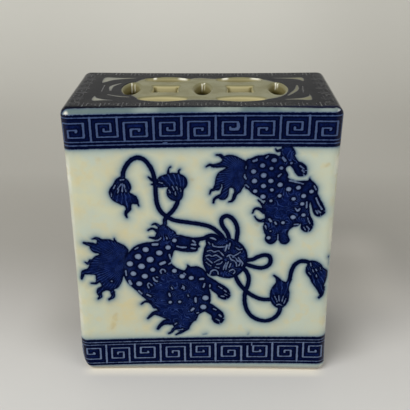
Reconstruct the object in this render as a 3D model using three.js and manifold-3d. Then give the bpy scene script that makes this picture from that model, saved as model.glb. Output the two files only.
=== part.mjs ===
// Rectangular ceramic pillow with pierced ends, standing on one of its ends.
// Millimetres, +Z up. The origin is the middle of the face that it stands on.
// The broad printed front looks towards -Y, the narrow sides look towards -X and +X.
// Clay slabs are butted together, and rolled coils of clay are pressed into the inner seams.

import * as THREE from 'three';
import { mergeVertices } from 'three/addons/utils/BufferGeometryUtils.js';
import Module from 'manifold-3d';

// Outer size and slabs

const WIDTH = 130; // along X, across the broad faces
const DEPTH = 72; // along Y, from front to back
const HEIGHT = 145; // along Z, from end to end
const WALL = 6; // thickness of the front, back and side slabs
const END_THICKNESS = 7; // thickness of the two pierced end slabs
const CORNER_RADIUS = 5; // the four upright edges, seen from above
const EDGE_RADIUS = 4; // the rim around each end

// Coin lattice cut through both ends: touching coins in a row, each with four petals round a square

const COIN_COUNT = 2;
const COIN_PITCH = 37; // from one coin's middle to the next
const PETAL_WEB = 3.3; // clay between a coin's circle and a petal's edge
const SQUARE_WEB = 4.6; // clay between a coin's circle and its square
const TIP_RADIUS = 1.2; // rounding in the points of petals and squares
const LIP_RADIUS = 1.2; // rounded lip of every cut, on both faces

// Luting coils pressed into the inner seams

const COIL_LEG = 7; // how far a coil spreads along each wall
const COIL_TIP = 1; // thickness at its feathered edges
const COIL_GAP = 0.3; // between the end of a base coil and the upright coil beside it

// Fineness of the rounded shapes

const CORNER_STEPS = 6;
const EDGE_STEPS = 4;
const LIP_STEPS = 2;
const SIDE_STEPS = 6;
const TIP_STEPS = 4;
const COIL_STEPS = 6;

// Working distances

const CUT_MARGIN = 1; // how far a cutter runs past both faces
const LEAST_RADIUS = 0.2; // rounding that is left where a fillet meets its limit
const SAME_POINT = 1e-6; // outline points closer than this are one

const wasm = await Module();
wasm.setup();

const halfWidth = WIDTH / 2;
const halfDepth = DEPTH / 2;
const wallHeight = HEIGHT - 2 * END_THICKNESS;
const innerHalfWidth = halfWidth - WALL;
const innerHalfDepth = halfDepth - WALL;
const corner = Math.min(CORNER_RADIUS, WALL);
const rim = Math.min(EDGE_RADIUS, END_THICKNESS, corner - LEAST_RADIUS);
const lip = Math.min(LIP_RADIUS, (END_THICKNESS - LEAST_RADIUS) / 2);
const coilLeg = Math.min(COIL_LEG, innerHalfDepth);

// Finishes

const finishes = {
  printedPanel: { color: 0xcfcab0, roughness: 0.18, metalness: 0 },
  sidePanel: { color: 0xc9c6b0, roughness: 0.18, metalness: 0 },
  piercedEnd: { color: 0x66677a, roughness: 0.16, metalness: 0 },
  coil: { color: 0xc2b184, roughness: 0.6, metalness: 0 },
};

function namedMesh(name, geometry, finish) {
  const mesh = new THREE.Mesh(geometry, new THREE.MeshStandardMaterial(finishes[finish]));
  mesh.name = name;
  return mesh;
}

// Outlines: lists of THREE.Vector2, counter-clockwise

function arc(centreX, centreY, radius, from, to, steps) {
  const points = [];
  for (let i = 0; i <= steps; i += 1) {
    const angle = from + ((to - from) * i) / steps;
    points.push(new THREE.Vector2(centreX + radius * Math.cos(angle), centreY + radius * Math.sin(angle)));
  }
  return points;
}

function withoutRepeats(points) {
  return points.filter((point, i) => point.distanceTo(points[(i + 1) % points.length]) > SAME_POINT);
}

// The end slab in plan, drawn in by `inset` for the rounded rim
function endOutline(inset) {
  const radius = corner - inset;
  const x = halfWidth - inset - radius;
  const y = halfDepth - inset - radius;
  return [
    ...arc(x, y, radius, 0, Math.PI / 2, CORNER_STEPS),
    ...arc(-x, y, radius, Math.PI / 2, Math.PI, CORNER_STEPS),
    ...arc(-x, -y, radius, Math.PI, Math.PI * 1.5, CORNER_STEPS),
    ...arc(x, -y, radius, Math.PI * 1.5, Math.PI * 2, CORNER_STEPS),
  ];
}

const coinRadius = COIN_PITCH / Math.SQRT2; // neighbouring coins cross at the petals' points

// A petal with its points along Y, grown by `growth`
function petalOutline(growth) {
  const centre = COIN_PITCH / 2;
  const radius = coinRadius - PETAL_WEB;
  const tip = Math.sqrt((radius - TIP_RADIUS) ** 2 - centre ** 2);
  const turn = Math.atan2(tip, centre);
  return withoutRepeats([
    ...arc(-centre, 0, radius + growth, -turn, turn, SIDE_STEPS),
    ...arc(0, tip, TIP_RADIUS + growth, turn, Math.PI - turn, TIP_STEPS),
    ...arc(centre, 0, radius + growth, Math.PI - turn, Math.PI + turn, SIDE_STEPS),
    ...arc(0, -tip, TIP_RADIUS + growth, Math.PI + turn, Math.PI * 2 - turn, TIP_STEPS),
  ]);
}

// A coin's square hole with hollow sides, grown by `growth`
function squareOutline(growth) {
  const radius = coinRadius + SQUARE_WEB;
  const tip = (COIN_PITCH - Math.sqrt(2 * (radius + TIP_RADIUS) ** 2 - COIN_PITCH ** 2)) / 2;
  const turn = Math.atan2(tip, COIN_PITCH - tip);
  const quarter = [
    ...arc(COIN_PITCH, 0, radius - growth, Math.PI + turn, Math.PI - turn, SIDE_STEPS),
    ...arc(tip, tip, TIP_RADIUS + growth, -turn, Math.PI / 2 + turn, TIP_STEPS),
  ];
  const points = [];
  for (let i = 0; i < 4; i += 1) {
    const origin = new THREE.Vector2(0, 0);
    points.push(...quarter.map((point) => point.clone().rotateAround(origin, (i * Math.PI) / 2)));
  }
  return withoutRepeats(points);
}

// Solids

// A closed skin over a stack of outlines with equal point counts, from the lowest to the highest
function loft(levels) {
  const count = levels[0].outline.length;
  const positions = [];
  const faces = [];
  for (const { z, outline } of levels) {
    for (const point of outline) {
      positions.push(point.x, point.y, z);
    }
  }
  for (let level = 0; level < levels.length - 1; level += 1) {
    for (let i = 0; i < count; i += 1) {
      const low = level * count + i;
      const lowNext = level * count + ((i + 1) % count);
      faces.push(low, lowNext, lowNext + count, low, lowNext + count, low + count);
    }
  }
  const top = (levels.length - 1) * count;
  for (const [a, b, c] of THREE.ShapeUtils.triangulateShape(levels[0].outline, [])) {
    faces.push(a, c, b);
  }
  for (const [a, b, c] of THREE.ShapeUtils.triangulateShape(levels.at(-1).outline, [])) {
    faces.push(top + a, top + b, top + c);
  }
  const geometry = new THREE.BufferGeometry();
  geometry.setAttribute('position', new THREE.Float32BufferAttribute(positions, 3));
  geometry.setIndex(faces);
  return geometry;
}

function toManifold(geometry) {
  const merged = mergeVertices(geometry);
  return new wasm.Manifold(
    new wasm.Mesh({
      numProp: 3,
      vertProperties: new Float32Array(merged.attributes.position.array),
      triVerts: new Uint32Array(merged.index.array),
    }),
  );
}

function fromManifold(solid) {
  const { vertProperties, triVerts } = solid.getMesh();
  const geometry = new THREE.BufferGeometry();
  geometry.setAttribute('position', new THREE.Float32BufferAttribute(vertProperties, 3));
  geometry.setIndex(Array.from(triVerts));
  const flat = geometry.toNonIndexed();
  flat.computeVertexNormals();
  return flat;
}

// A cutter that opens into a rounded lip at both faces of the end slab
function cutter(outline) {
  const levels = [{ z: -CUT_MARGIN, outline: outline(lip) }];
  for (let i = 0; i <= LIP_STEPS; i += 1) {
    const angle = (i / LIP_STEPS) * (Math.PI / 2);
    levels.push({ z: lip * (1 - Math.cos(angle)), outline: outline(lip * (1 - Math.sin(angle))) });
  }
  const mirrored = levels.map(({ z, outline: ring }) => ({ z: END_THICKNESS - z, outline: ring }));
  return loft([...levels, ...mirrored.reverse()]);
}

// One end slab: joint face at z = 0, outer face with its rounded rim at z = END_THICKNESS
function piercedEnd() {
  const levels = [{ z: 0, outline: endOutline(0) }];
  for (let i = 0; i <= EDGE_STEPS; i += 1) {
    const angle = (i / EDGE_STEPS) * (Math.PI / 2);
    levels.push({
      z: END_THICKNESS - rim + rim * Math.sin(angle),
      outline: endOutline(rim * (1 - Math.cos(angle))),
    });
  }
  let slab = toManifold(loft(levels));
  const firstSeam = (-COIN_COUNT * COIN_PITCH) / 2;
  for (let i = 0; i <= COIN_COUNT; i += 1) {
    const petal = cutter(petalOutline).translate(firstSeam + i * COIN_PITCH, 0, 0);
    slab = slab.subtract(toManifold(petal));
  }
  for (let i = 0; i < COIN_COUNT; i += 1) {
    const middle = firstSeam + (i + 0.5) * COIN_PITCH;
    slab = slab.subtract(toManifold(cutter(squareOutline).translate(middle, 0, 0)));
    for (const side of [-1, 1]) {
      const petal = cutter(petalOutline).rotateZ(Math.PI / 2);
      slab = slab.subtract(toManifold(petal.translate(middle, (side * COIN_PITCH) / 2, 0)));
    }
  }
  return fromManifold(slab);
}

// A broad slab in plan, with the joint face at y = 0 and both rounded upright edges at y = -WALL
function broadSlab() {
  const shape = new THREE.Shape([
    new THREE.Vector2(halfWidth, 0),
    new THREE.Vector2(-halfWidth, 0),
    ...arc(-halfWidth + corner, -WALL + corner, corner, Math.PI, Math.PI * 1.5, CORNER_STEPS),
    ...arc(halfWidth - corner, -WALL + corner, corner, Math.PI * 1.5, Math.PI * 2, CORNER_STEPS),
  ]);
  return new THREE.ExtrudeGeometry(shape, { depth: wallHeight, bevelEnabled: false });
}

// A coil in section: its two flat backs lie on the walls x = 0 and y = 0, its face is smoothed hollow
function coilGeometry(length) {
  const tip = Math.min(COIL_TIP, coilLeg / 2);
  const shape = new THREE.Shape([
    new THREE.Vector2(0, 0),
    new THREE.Vector2(coilLeg, 0),
    ...arc(coilLeg, coilLeg, coilLeg - tip, Math.PI * 1.5, Math.PI, COIL_STEPS),
    new THREE.Vector2(0, coilLeg),
  ]);
  return new THREE.ExtrudeGeometry(shape, { depth: length, bevelEnabled: false });
}

// Assembly

const pillow = new THREE.Group();

const basePlate = namedMesh('base_end_plate', piercedEnd(), 'piercedEnd');
basePlate.rotation.x = Math.PI;
basePlate.position.z = END_THICKNESS;
pillow.add(basePlate);

const topPlate = namedMesh('top_end_plate', piercedEnd(), 'piercedEnd');
topPlate.position.z = HEIGHT - END_THICKNESS;
pillow.add(topPlate);

const walls = new THREE.Group();
walls.position.z = END_THICKNESS;
pillow.add(walls);

const frontPanel = namedMesh('front_panel', broadSlab(), 'printedPanel');
frontPanel.position.y = -innerHalfDepth;
walls.add(frontPanel);

const backPanel = namedMesh('back_panel', broadSlab(), 'printedPanel');
backPanel.rotation.z = Math.PI;
backPanel.position.y = innerHalfDepth;
walls.add(backPanel);

for (const [side, name] of [[-1, 'left'], [1, 'right']]) {
  const sideSlab = new THREE.BoxGeometry(WALL, 2 * innerHalfDepth, wallHeight);
  const panel = namedMesh(`${name}_side_panel`, sideSlab, 'sidePanel');
  panel.position.set(side * (halfWidth - WALL / 2), 0, wallHeight / 2);
  walls.add(panel);
}

// Upright coils, one in each inner corner, from one end slab to the other
const uprightCorners = [
  ['back_right', 1, 1],
  ['back_left', -1, 1],
  ['front_left', -1, -1],
  ['front_right', 1, -1],
];
uprightCorners.forEach(([name, sideX, sideY], i) => {
  const coil = namedMesh(`upright_coil_${name}`, coilGeometry(wallHeight), 'coil');
  coil.rotation.z = Math.PI + (i * Math.PI) / 2;
  coil.position.set(sideX * innerHalfWidth, sideY * innerHalfDepth, 0);
  walls.add(coil);
});

// Base coils along the four inner seams at the base slab, between the upright coils
const baseSeams = [
  ['front', innerHalfDepth, innerHalfWidth],
  ['right', innerHalfWidth, innerHalfDepth],
  ['back', innerHalfDepth, innerHalfWidth],
  ['left', innerHalfWidth, innerHalfDepth],
];
baseSeams.forEach(([name, distance, halfSeam], i) => {
  const length = 2 * (halfSeam - coilLeg - COIL_GAP);
  const coil = namedMesh(`base_coil_${name}`, coilGeometry(length), 'coil');
  // Turned to run along X on the front seam, with one back on the wall and the other on the slab
  coil.rotation.set(Math.PI / 2, 0, Math.PI / 2, 'ZXY');
  coil.position.set(-length / 2, -distance, 0);
  const seam = new THREE.Group();
  seam.rotation.z = (i * Math.PI) / 2;
  seam.add(coil);
  walls.add(seam);
});

export default pillow;
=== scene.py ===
"""Ceramic pillow, standing on end.

Six luted clay slabs under an ivory glaze with blue transfer prints. This script works in
millimetres and hands over metres. The outsides of the slabs all lie on one slumped surface
and share its points along their joints, so no seam shows, as on the fired body. Every point of a
slab carries its distance to the nearest edge of the ink. The prints are drawn from given
outlines and strokes, and the glaze takes its ink, its haze and its hair lines from that distance.
"""
import math

import bpy
import numpy as np
from mathutils import Matrix, Vector
from mathutils.geometry import delaunay_2d_cdt


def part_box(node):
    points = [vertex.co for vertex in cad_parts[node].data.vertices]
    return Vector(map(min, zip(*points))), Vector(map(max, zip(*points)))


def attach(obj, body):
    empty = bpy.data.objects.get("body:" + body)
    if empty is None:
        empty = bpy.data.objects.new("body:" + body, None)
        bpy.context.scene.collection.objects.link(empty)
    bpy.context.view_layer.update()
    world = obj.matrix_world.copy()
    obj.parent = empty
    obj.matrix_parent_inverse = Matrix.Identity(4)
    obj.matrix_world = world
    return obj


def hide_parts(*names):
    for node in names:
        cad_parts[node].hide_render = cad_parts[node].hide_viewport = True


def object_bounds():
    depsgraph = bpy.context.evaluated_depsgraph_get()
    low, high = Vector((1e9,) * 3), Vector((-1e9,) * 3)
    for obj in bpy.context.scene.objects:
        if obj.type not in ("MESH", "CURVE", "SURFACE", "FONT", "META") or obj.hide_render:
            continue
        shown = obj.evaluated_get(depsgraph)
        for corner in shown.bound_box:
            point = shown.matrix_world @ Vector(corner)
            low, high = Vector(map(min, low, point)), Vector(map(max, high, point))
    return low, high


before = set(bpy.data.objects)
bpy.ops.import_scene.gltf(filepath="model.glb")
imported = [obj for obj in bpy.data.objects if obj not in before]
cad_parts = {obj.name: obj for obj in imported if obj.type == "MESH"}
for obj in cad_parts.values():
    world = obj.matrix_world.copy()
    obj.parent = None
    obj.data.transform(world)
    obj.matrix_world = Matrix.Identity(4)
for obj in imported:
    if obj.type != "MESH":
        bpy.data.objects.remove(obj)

CAD_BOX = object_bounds()

# Sizes in millimetres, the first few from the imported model

MM = 0.001


def extent(node, axis):
    low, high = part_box(node)
    return round((high[axis] - low[axis]) / MM, 4)


HALF_WIDTH, HALF_DEPTH, HEIGHT = (round(level / MM, 4) for level in CAD_BOX[1])
WALL = extent("front_panel", 1)
END_THICKNESS = extent("top_end_plate", 2)
WALL_LOW, WALL_HIGH = END_THICKNESS, HEIGHT - END_THICKNESS
CORNER_RADIUS = 5.0
EDGE_RADIUS = 4.0

# The lattice. Its left upright petal stands nearer the middle than the coins' pitch would have it

COIN_PITCH = 37.0
COIN_RADIUS = COIN_PITCH / math.sqrt(2)
LEFT_PETAL_PLACE = -35.3
PETAL_WEB = 3.3
SQUARE_WEB = 4.6
TIP_RADIUS = 1.2
LIP_RADIUS = 1.2

# Glaze that has run into the openings: it narrows them and fills their pointed ends

GLAZE_IN_HOLES = 0.6
GLAZED_TIP_RADIUS = 2.2

# How far the slabs have sunk in, all inwards, and how the lower left corner draws in

SIDE_PULL = 1.0
FRONT_PULL = 0.9
FRONT_BELLY = 0.6
BACK_PULL = 1.9
TOP_SAG = 0.35
WAVE = 0.1
WAVE_LENGTHS = (11.3, 9.7, 14.1)
WAVE_STARTS = (0.7, 1.9)
PULL_EASE = 4.0
CORNER_PULL = 5.0
CORNER_PULL_HEIGHT = 3.6
CORNER_PULL_START = 48.0

# Fineness of the meshes and the curves

STEP = 0.45
CORNER_STEPS = 18
RIM_STEPS = 12
LIP_STEPS = 6
HOLE_SIDE_STEPS = 44
HOLE_TIP_STEPS = 8
PLATE_STEP = 0.55
CURVE_STEPS = 4
SHARP_ANGLE = 42

# Outlines and strokes of the prints, in millimetres across and up each face

REACH = 8.0
RIBBON = 1.08
SPOT_SHAPE = (0.94, 1.06)

# The key fret: its repeat along a band, its depth across one, its keys, the rules along it, and
# how thick the rules of the upper and lower bands are

FRET_PITCH = 29.0
FRET_DEPTH = 15.9
FRET_KEYS = (
    ((0, 1.2), (0, 12.6)),
    ((12.9, 1.2), (12.9, 10.4), (3.1, 10.4), (3.1, 4.2), (9.7, 4.2), (9.7, 7.9), (6.4, 7.9), (6.4, 6.6)),
    ((16, 12.6), (16, 3.9), (26, 3.9), (26, 10.5), (19, 10.5), (19, 7), (22.9, 7), (22.6, 8)),
)
FRET_TALL = (0.0, 16.0)
FRET_RULES = (1.4, 12.6, 14.2)
UPPER_RULE, LOWER_RULE = 0.24, 0.2
FRET_LINE = 0.5
FRET_LINE_FLATNESS = 1.65
NO_BAND = 18.0
PAST_BAND = -2.0

# Edges of the bands on the broad faces: height at the middle, tilt and bend over half the width.
# Then where the tall lines of each band stand, as the strips of transfer were stretched in places

UPPER_FREE = (143.35, 0.65, -0.75)
UPPER_INNER = (127.1, 0.78, -0.9)
LOWER_FREE = (5.19, 1.02, -0.81)
LOWER_INNER = (21.57, 1.44, -0.52)
UPPER_TALL = (-79.9, -64.5, -50.9, -35.5, -21.9, -6.1, 6.45, 23.1, 35.95, 52.1, 64.9, 81)
LOWER_TALL = (-80, -64.5, -51, -36, -22.35, -6.4, 6.7, 23.5, 36.6, 52.8, 65.6, 82)
BAND_HALF_LENGTH = 66.6

# A broad face's print lies lower than it was drawn, by more where the slab has sunk, and places on
# the face shrink by this much to places in the drawing. Then how far each sheet reaches from its
# middle

PRINT_DROP = 0.2
PRINT_SHRINK = 0.995
SUNK_DROP = 0.45
BROAD_SHEET_HALF = 78.0
NARROW_SHEET_HALF = 44.0

# Places where the transfers overlap or have slipped, and stray marks beside them

BAND_BLOTS = (
    ((24.4, 20.6, 0.5), (24.2, 18.6, 1.1), (23.4, 17.2, 0.7)), ((21.4, 20.9, 0.5), (22.6, 20.2, 0.4)),
    ((62, 142.9, 0.6), (65, 143.3, 0.7)),
)
BAND_NICKS = (
    ((-63.8, 142.4, 0.12), (-62.8, 141.1, 0.12)), ((-62.2, 142.7, 0.12), (-61, 141, 0.12)),
    ((-60.6, 142.6, 0.12), (-59.5, 141.3, 0.12)), ((-59, 142.6, 0.1), (-58.2, 141.6, 0.1)),
    ((16.9, 138.6, 0.4), (16.9, 136.4, 0.6), (15, 135.6, 0.6), (13, 136.2, 0.3)),
    ((25.9, 19.4, 0.2), (25.7, 16.8, 0.3)),
    ((-17.6, 128.9, 0.4), (-16.2, 129.1, 0.4)),
)
SMUDGES = (
    ((0.2, 23.4, -0.25), (1.9, 23.9, -0.1)), ((63.2, 69.6, 0.1), (63.6, 69.1, 0.3)),
    ((23.6, 23.4, -0.2), (24, 24.6, -0.6)), ((63.9, 68, -0.2), (63.9, 64.5, -0.5)),
)
RUST_BLUR = 0.8
RUST = (
    ((-45.2, 35.6, 0.2), (-46, 32.6, 0.9), (-46.4, 29.6, 0.7), (-48, 26.8, 0.2)),
    ((-49, 120.8, 0.1), (-48.4, 120.6, 0.1)), ((-12.6, 110.6, 0.1), (-4.6, 110, 0.1)),
    ((26.6, 87, 0.1), (27.4, 86.2, 0.2)), ((58.2, 117.6, 0.1), (59.6, 118.4, 0.1)),
)

UPPER_LION = {
    "masses": (
        ((20.5, 119.5), (23, 121.6), (26, 122.9), (28.5, 123.1), (31, 123.8), (34, 123.6), (36.2, 122.7),
         (36.6, 124.5), (37, 127), (38.5, 128.1), (40.8, 127.9), (42.8, 126.2), (43.7, 123.9), (43.3, 122.9),
         (44.1, 121.5), (45.2, 120.2), (47, 119.4), (49, 117.6), (49.5, 115.2), (49.2, 113.2), (47.6, 112.5),
         (45.4, 112.7), (43.9, 114.2), (42.6, 116.6), (41.4, 117.8), (39.9, 117.2), (39.6, 115.6),
         (40.9, 113.6), (40.6, 112.1), (42.4, 111), (45.5, 110.2), (48.5, 110.4), (50.2, 110.6),
         (50.9, 112.2), (51.6, 110.9), (53.4, 109.2), (55, 107.4), (55.3, 105.6), (55.4, 103.6),
         (56.8, 100.8), (58.4, 98), (59.6, 95.2), (59.6, 93.6), (58.4, 92.4), (56.8, 91.6), (54.8, 92.4),
         (53.6, 94.2), (52.8, 97), (52.1, 99.2), (51.8, 97.4), (52.2, 94), (53, 91.6), (54.2, 89),
         (54.3, 86.4), (53.2, 84), (51.4, 83.4), (49.4, 84), (48.2, 85.8), (48.2, 87.8), (46.8, 86.6),
         (44.6, 86.1), (43, 84.6), (42.1, 82.4), (43, 80.2), (43.2, 78.4), (42, 77), (40.4, 76.6),
         (38.6, 77.4), (37.4, 79.2), (36, 77.6), (34, 76.6), (32.2, 77.4), (31, 79.2), (31.2, 81.4),
         (30.4, 83.2), (29.9, 86), (30.4, 88.6), (30.6, 91), (30.2, 94), (29.6, 97), (30, 99.6),
         (28.6, 100.6), (26.8, 102), (24, 103.8), (22, 105.8), (20.4, 107.6)),
        ((20.6, 120), (18, 121.6), (15.8, 122.8), (13, 123.3), (10.8, 122.9), (9.3, 121.8), (9.6, 120.6),
         (8.4, 119.6), (6.5, 118.7), (6.6, 116.9), (8.6, 116.9), (11.6, 117), (9.6, 115.7), (8, 114.6),
         (6.8, 112.6), (6.2, 110), (6, 107.6), (6.3, 105.8), (7.8, 105.2), (8.8, 106), (9.4, 107.8),
         (9.2, 105), (8.6, 103.2), (8.2, 100.9), (10.5, 100.4), (12.2, 101.6), (12.9, 103.6), (13, 106),
         (13.6, 106.6), (14.8, 106.4), (15.4, 105), (15.2, 102.8), (16.2, 101.4), (16.8, 103), (18.4, 104.4),
         (19.4, 106.2), (20.4, 108), (21, 112), (21, 117)),
    ),
    "curls": (
        ((10.5, 121.6, 1), (8.8, 122.9, 0.8), (6.7, 123.2, 0.35)),
        ((8.5, 118.2, 1.3), (5.5, 117.8, 0.9), (3.8, 118.3, 0.6), (2.1, 117.4, 0.32)),
        ((7, 108, 1), (5.9, 106, 0.8), (4.4, 105.3, 0.6), (3.7, 103.4, 0.32)),
        ((9.4, 102.4, 1.2), (7.2, 101.9, 0.8), (5.9, 100.6, 0.65), (5.5, 98.9, 0.5)),
        ((15.6, 103, 0.9), (15.2, 101, 0.8), (14.2, 99.8, 0.6), (12.9, 99.4, 0.42)),
        ((30.6, 89.6, 1.1), (28.2, 89.4, 0.75), (26.5, 90.3, 0.55), (25.6, 91.9, 0.32)),
        ((30, 94.4, 1.3), (28.2, 95.5, 0.9), (26.5, 96, 0.7), (25.2, 95.3, 0.55), (24.6, 93.6, 0.42)),
        ((30.2, 96.4, 1), (28.7, 98.6, 0.6), (27.1, 100.3, 0.38)),
        ((38, 125.4, 1.2), (36.4, 125.5, 0.8), (35, 125.2, 0.6), (34.1, 126.3, 0.32)),
    ),
    "spots": (
        (28.5, 118, 1.1), (24.4, 115, 1.15), (29.2, 113, 1.3), (25, 110.2, 1.25), (32.7, 110.2, 1.15),
        (29.3, 107.6, 1.15), (25.4, 105, 1), (29.3, 102.2, 1.2), (33.8, 120.6, 1.15), (32.7, 116.5, 0.9),
        (37.4, 116.7, 0.85), (37.2, 108.3, 1.2), (33.4, 105.6, 0.9), (41.4, 106, 1.2), (46, 106.8, 1.1),
        (52.3, 104.8, 1), (48.7, 102.5, 1.1), (44, 101, 0.95), (37.2, 102.6, 0.95), (33.2, 100, 0.8),
        (48.3, 98.4, 0.95), (44.3, 91.4, 1.2), (49.2, 92.5, 1), (39.5, 88.4, 0.9), (32.8, 80.2, 1),
        (41.9, 119.2, 0.6), (33.6, 83.8, 0.4),
    ),
    "lines": (
        ((24.2, 120.2, 0.55), (25.8, 120.7, 0.4), (25.6, 121.2, 0.3)), ((30, 121.8, 0.35), (31, 122.8, 0.35)),
        ((37.8, 121.8, 0.6), (38.9, 120.5, 0.65)), ((36.2, 112.6, 0.5), (37.5, 113.8, 0.35)),
        ((29, 99.4, 0.4), (30.2, 99.8, 0.4)), ((45, 96.2, 0.3), (46.2, 94.8, 0.5), (47.3, 95.8, 0.4)),
        ((32.8, 90.2, 0.6), (33.7, 89.2, 0.6)), ((35.7, 88.7, 0.45), (36.2, 87.6, 0.45)),
        ((20.2, 113.6, 0.25), (20.3, 112.2, 0.5), (21, 111.2, 0.3)), ((21, 108.2, 0.4), (22.3, 107, 0.4)),
        ((20.9, 117.8, 0.25), (20.8, 116.4, 0.25)), ((46, 117.8, 0.4), (48, 116.3, 0.3)),
        ((47.2, 115.6, 0.35), (48.2, 114.6, 0.3)), ((54.7, 101.4, 0.4), (56.2, 98.2, 0.4), (57.9, 95.6, 0.4)),
        ((56, 95, 0.3), (57.4, 93.7, 0.3)), ((54.9, 95, 0.3), (56, 93.3, 0.3)),
        ((41.6, 110.4, 0.5), (44.6, 109.7, 0.4), (48.2, 108.7, 0.35)),
        ((50.4, 99.4, 0.4), (50.5, 96.4, 0.4)), ((51.3, 91, 0.3), (52.6, 88, 0.35)),
        ((51.2, 86.6, 0.3), (52.6, 85, 0.3)), ((49.6, 86.2, 0.3), (50.6, 84.6, 0.3)),
        ((45.2, 87.5, 0.4), (47, 87.5, 0.35)), ((37.4, 82, 0.3), (37.4, 79.4, 0.35)),
        ((53.4, 107.6, 0.35), (54.4, 105.8, 0.35)), ((30.9, 87, 0.3), (31.5, 85, 0.3)),
        ((9.4, 108.4, 0.25), (9.6, 106.8, 0.3)),
        ((60.3, 94.5, 0.4), (58.7, 94.9, 0.12)), ((57.9, 91.3, 0.4), (57.3, 93, 0.12)),
        ((55, 86.4, 0.4), (53.4, 87, 0.12)), ((52.5, 82.9, 0.4), (51.9, 84.6, 0.12)),
        ((50.2, 115.4, 0.4), (48.4, 115.4, 0.12)), ((48.8, 112.2, 0.4), (47.7, 113.8, 0.12)),
    ),
    "hair": (((21, 114), (13, 111), 14, 13),),
    "curly": (((40, 92), 12, 15), ((41, 124), 6, 6)),
}

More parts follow.
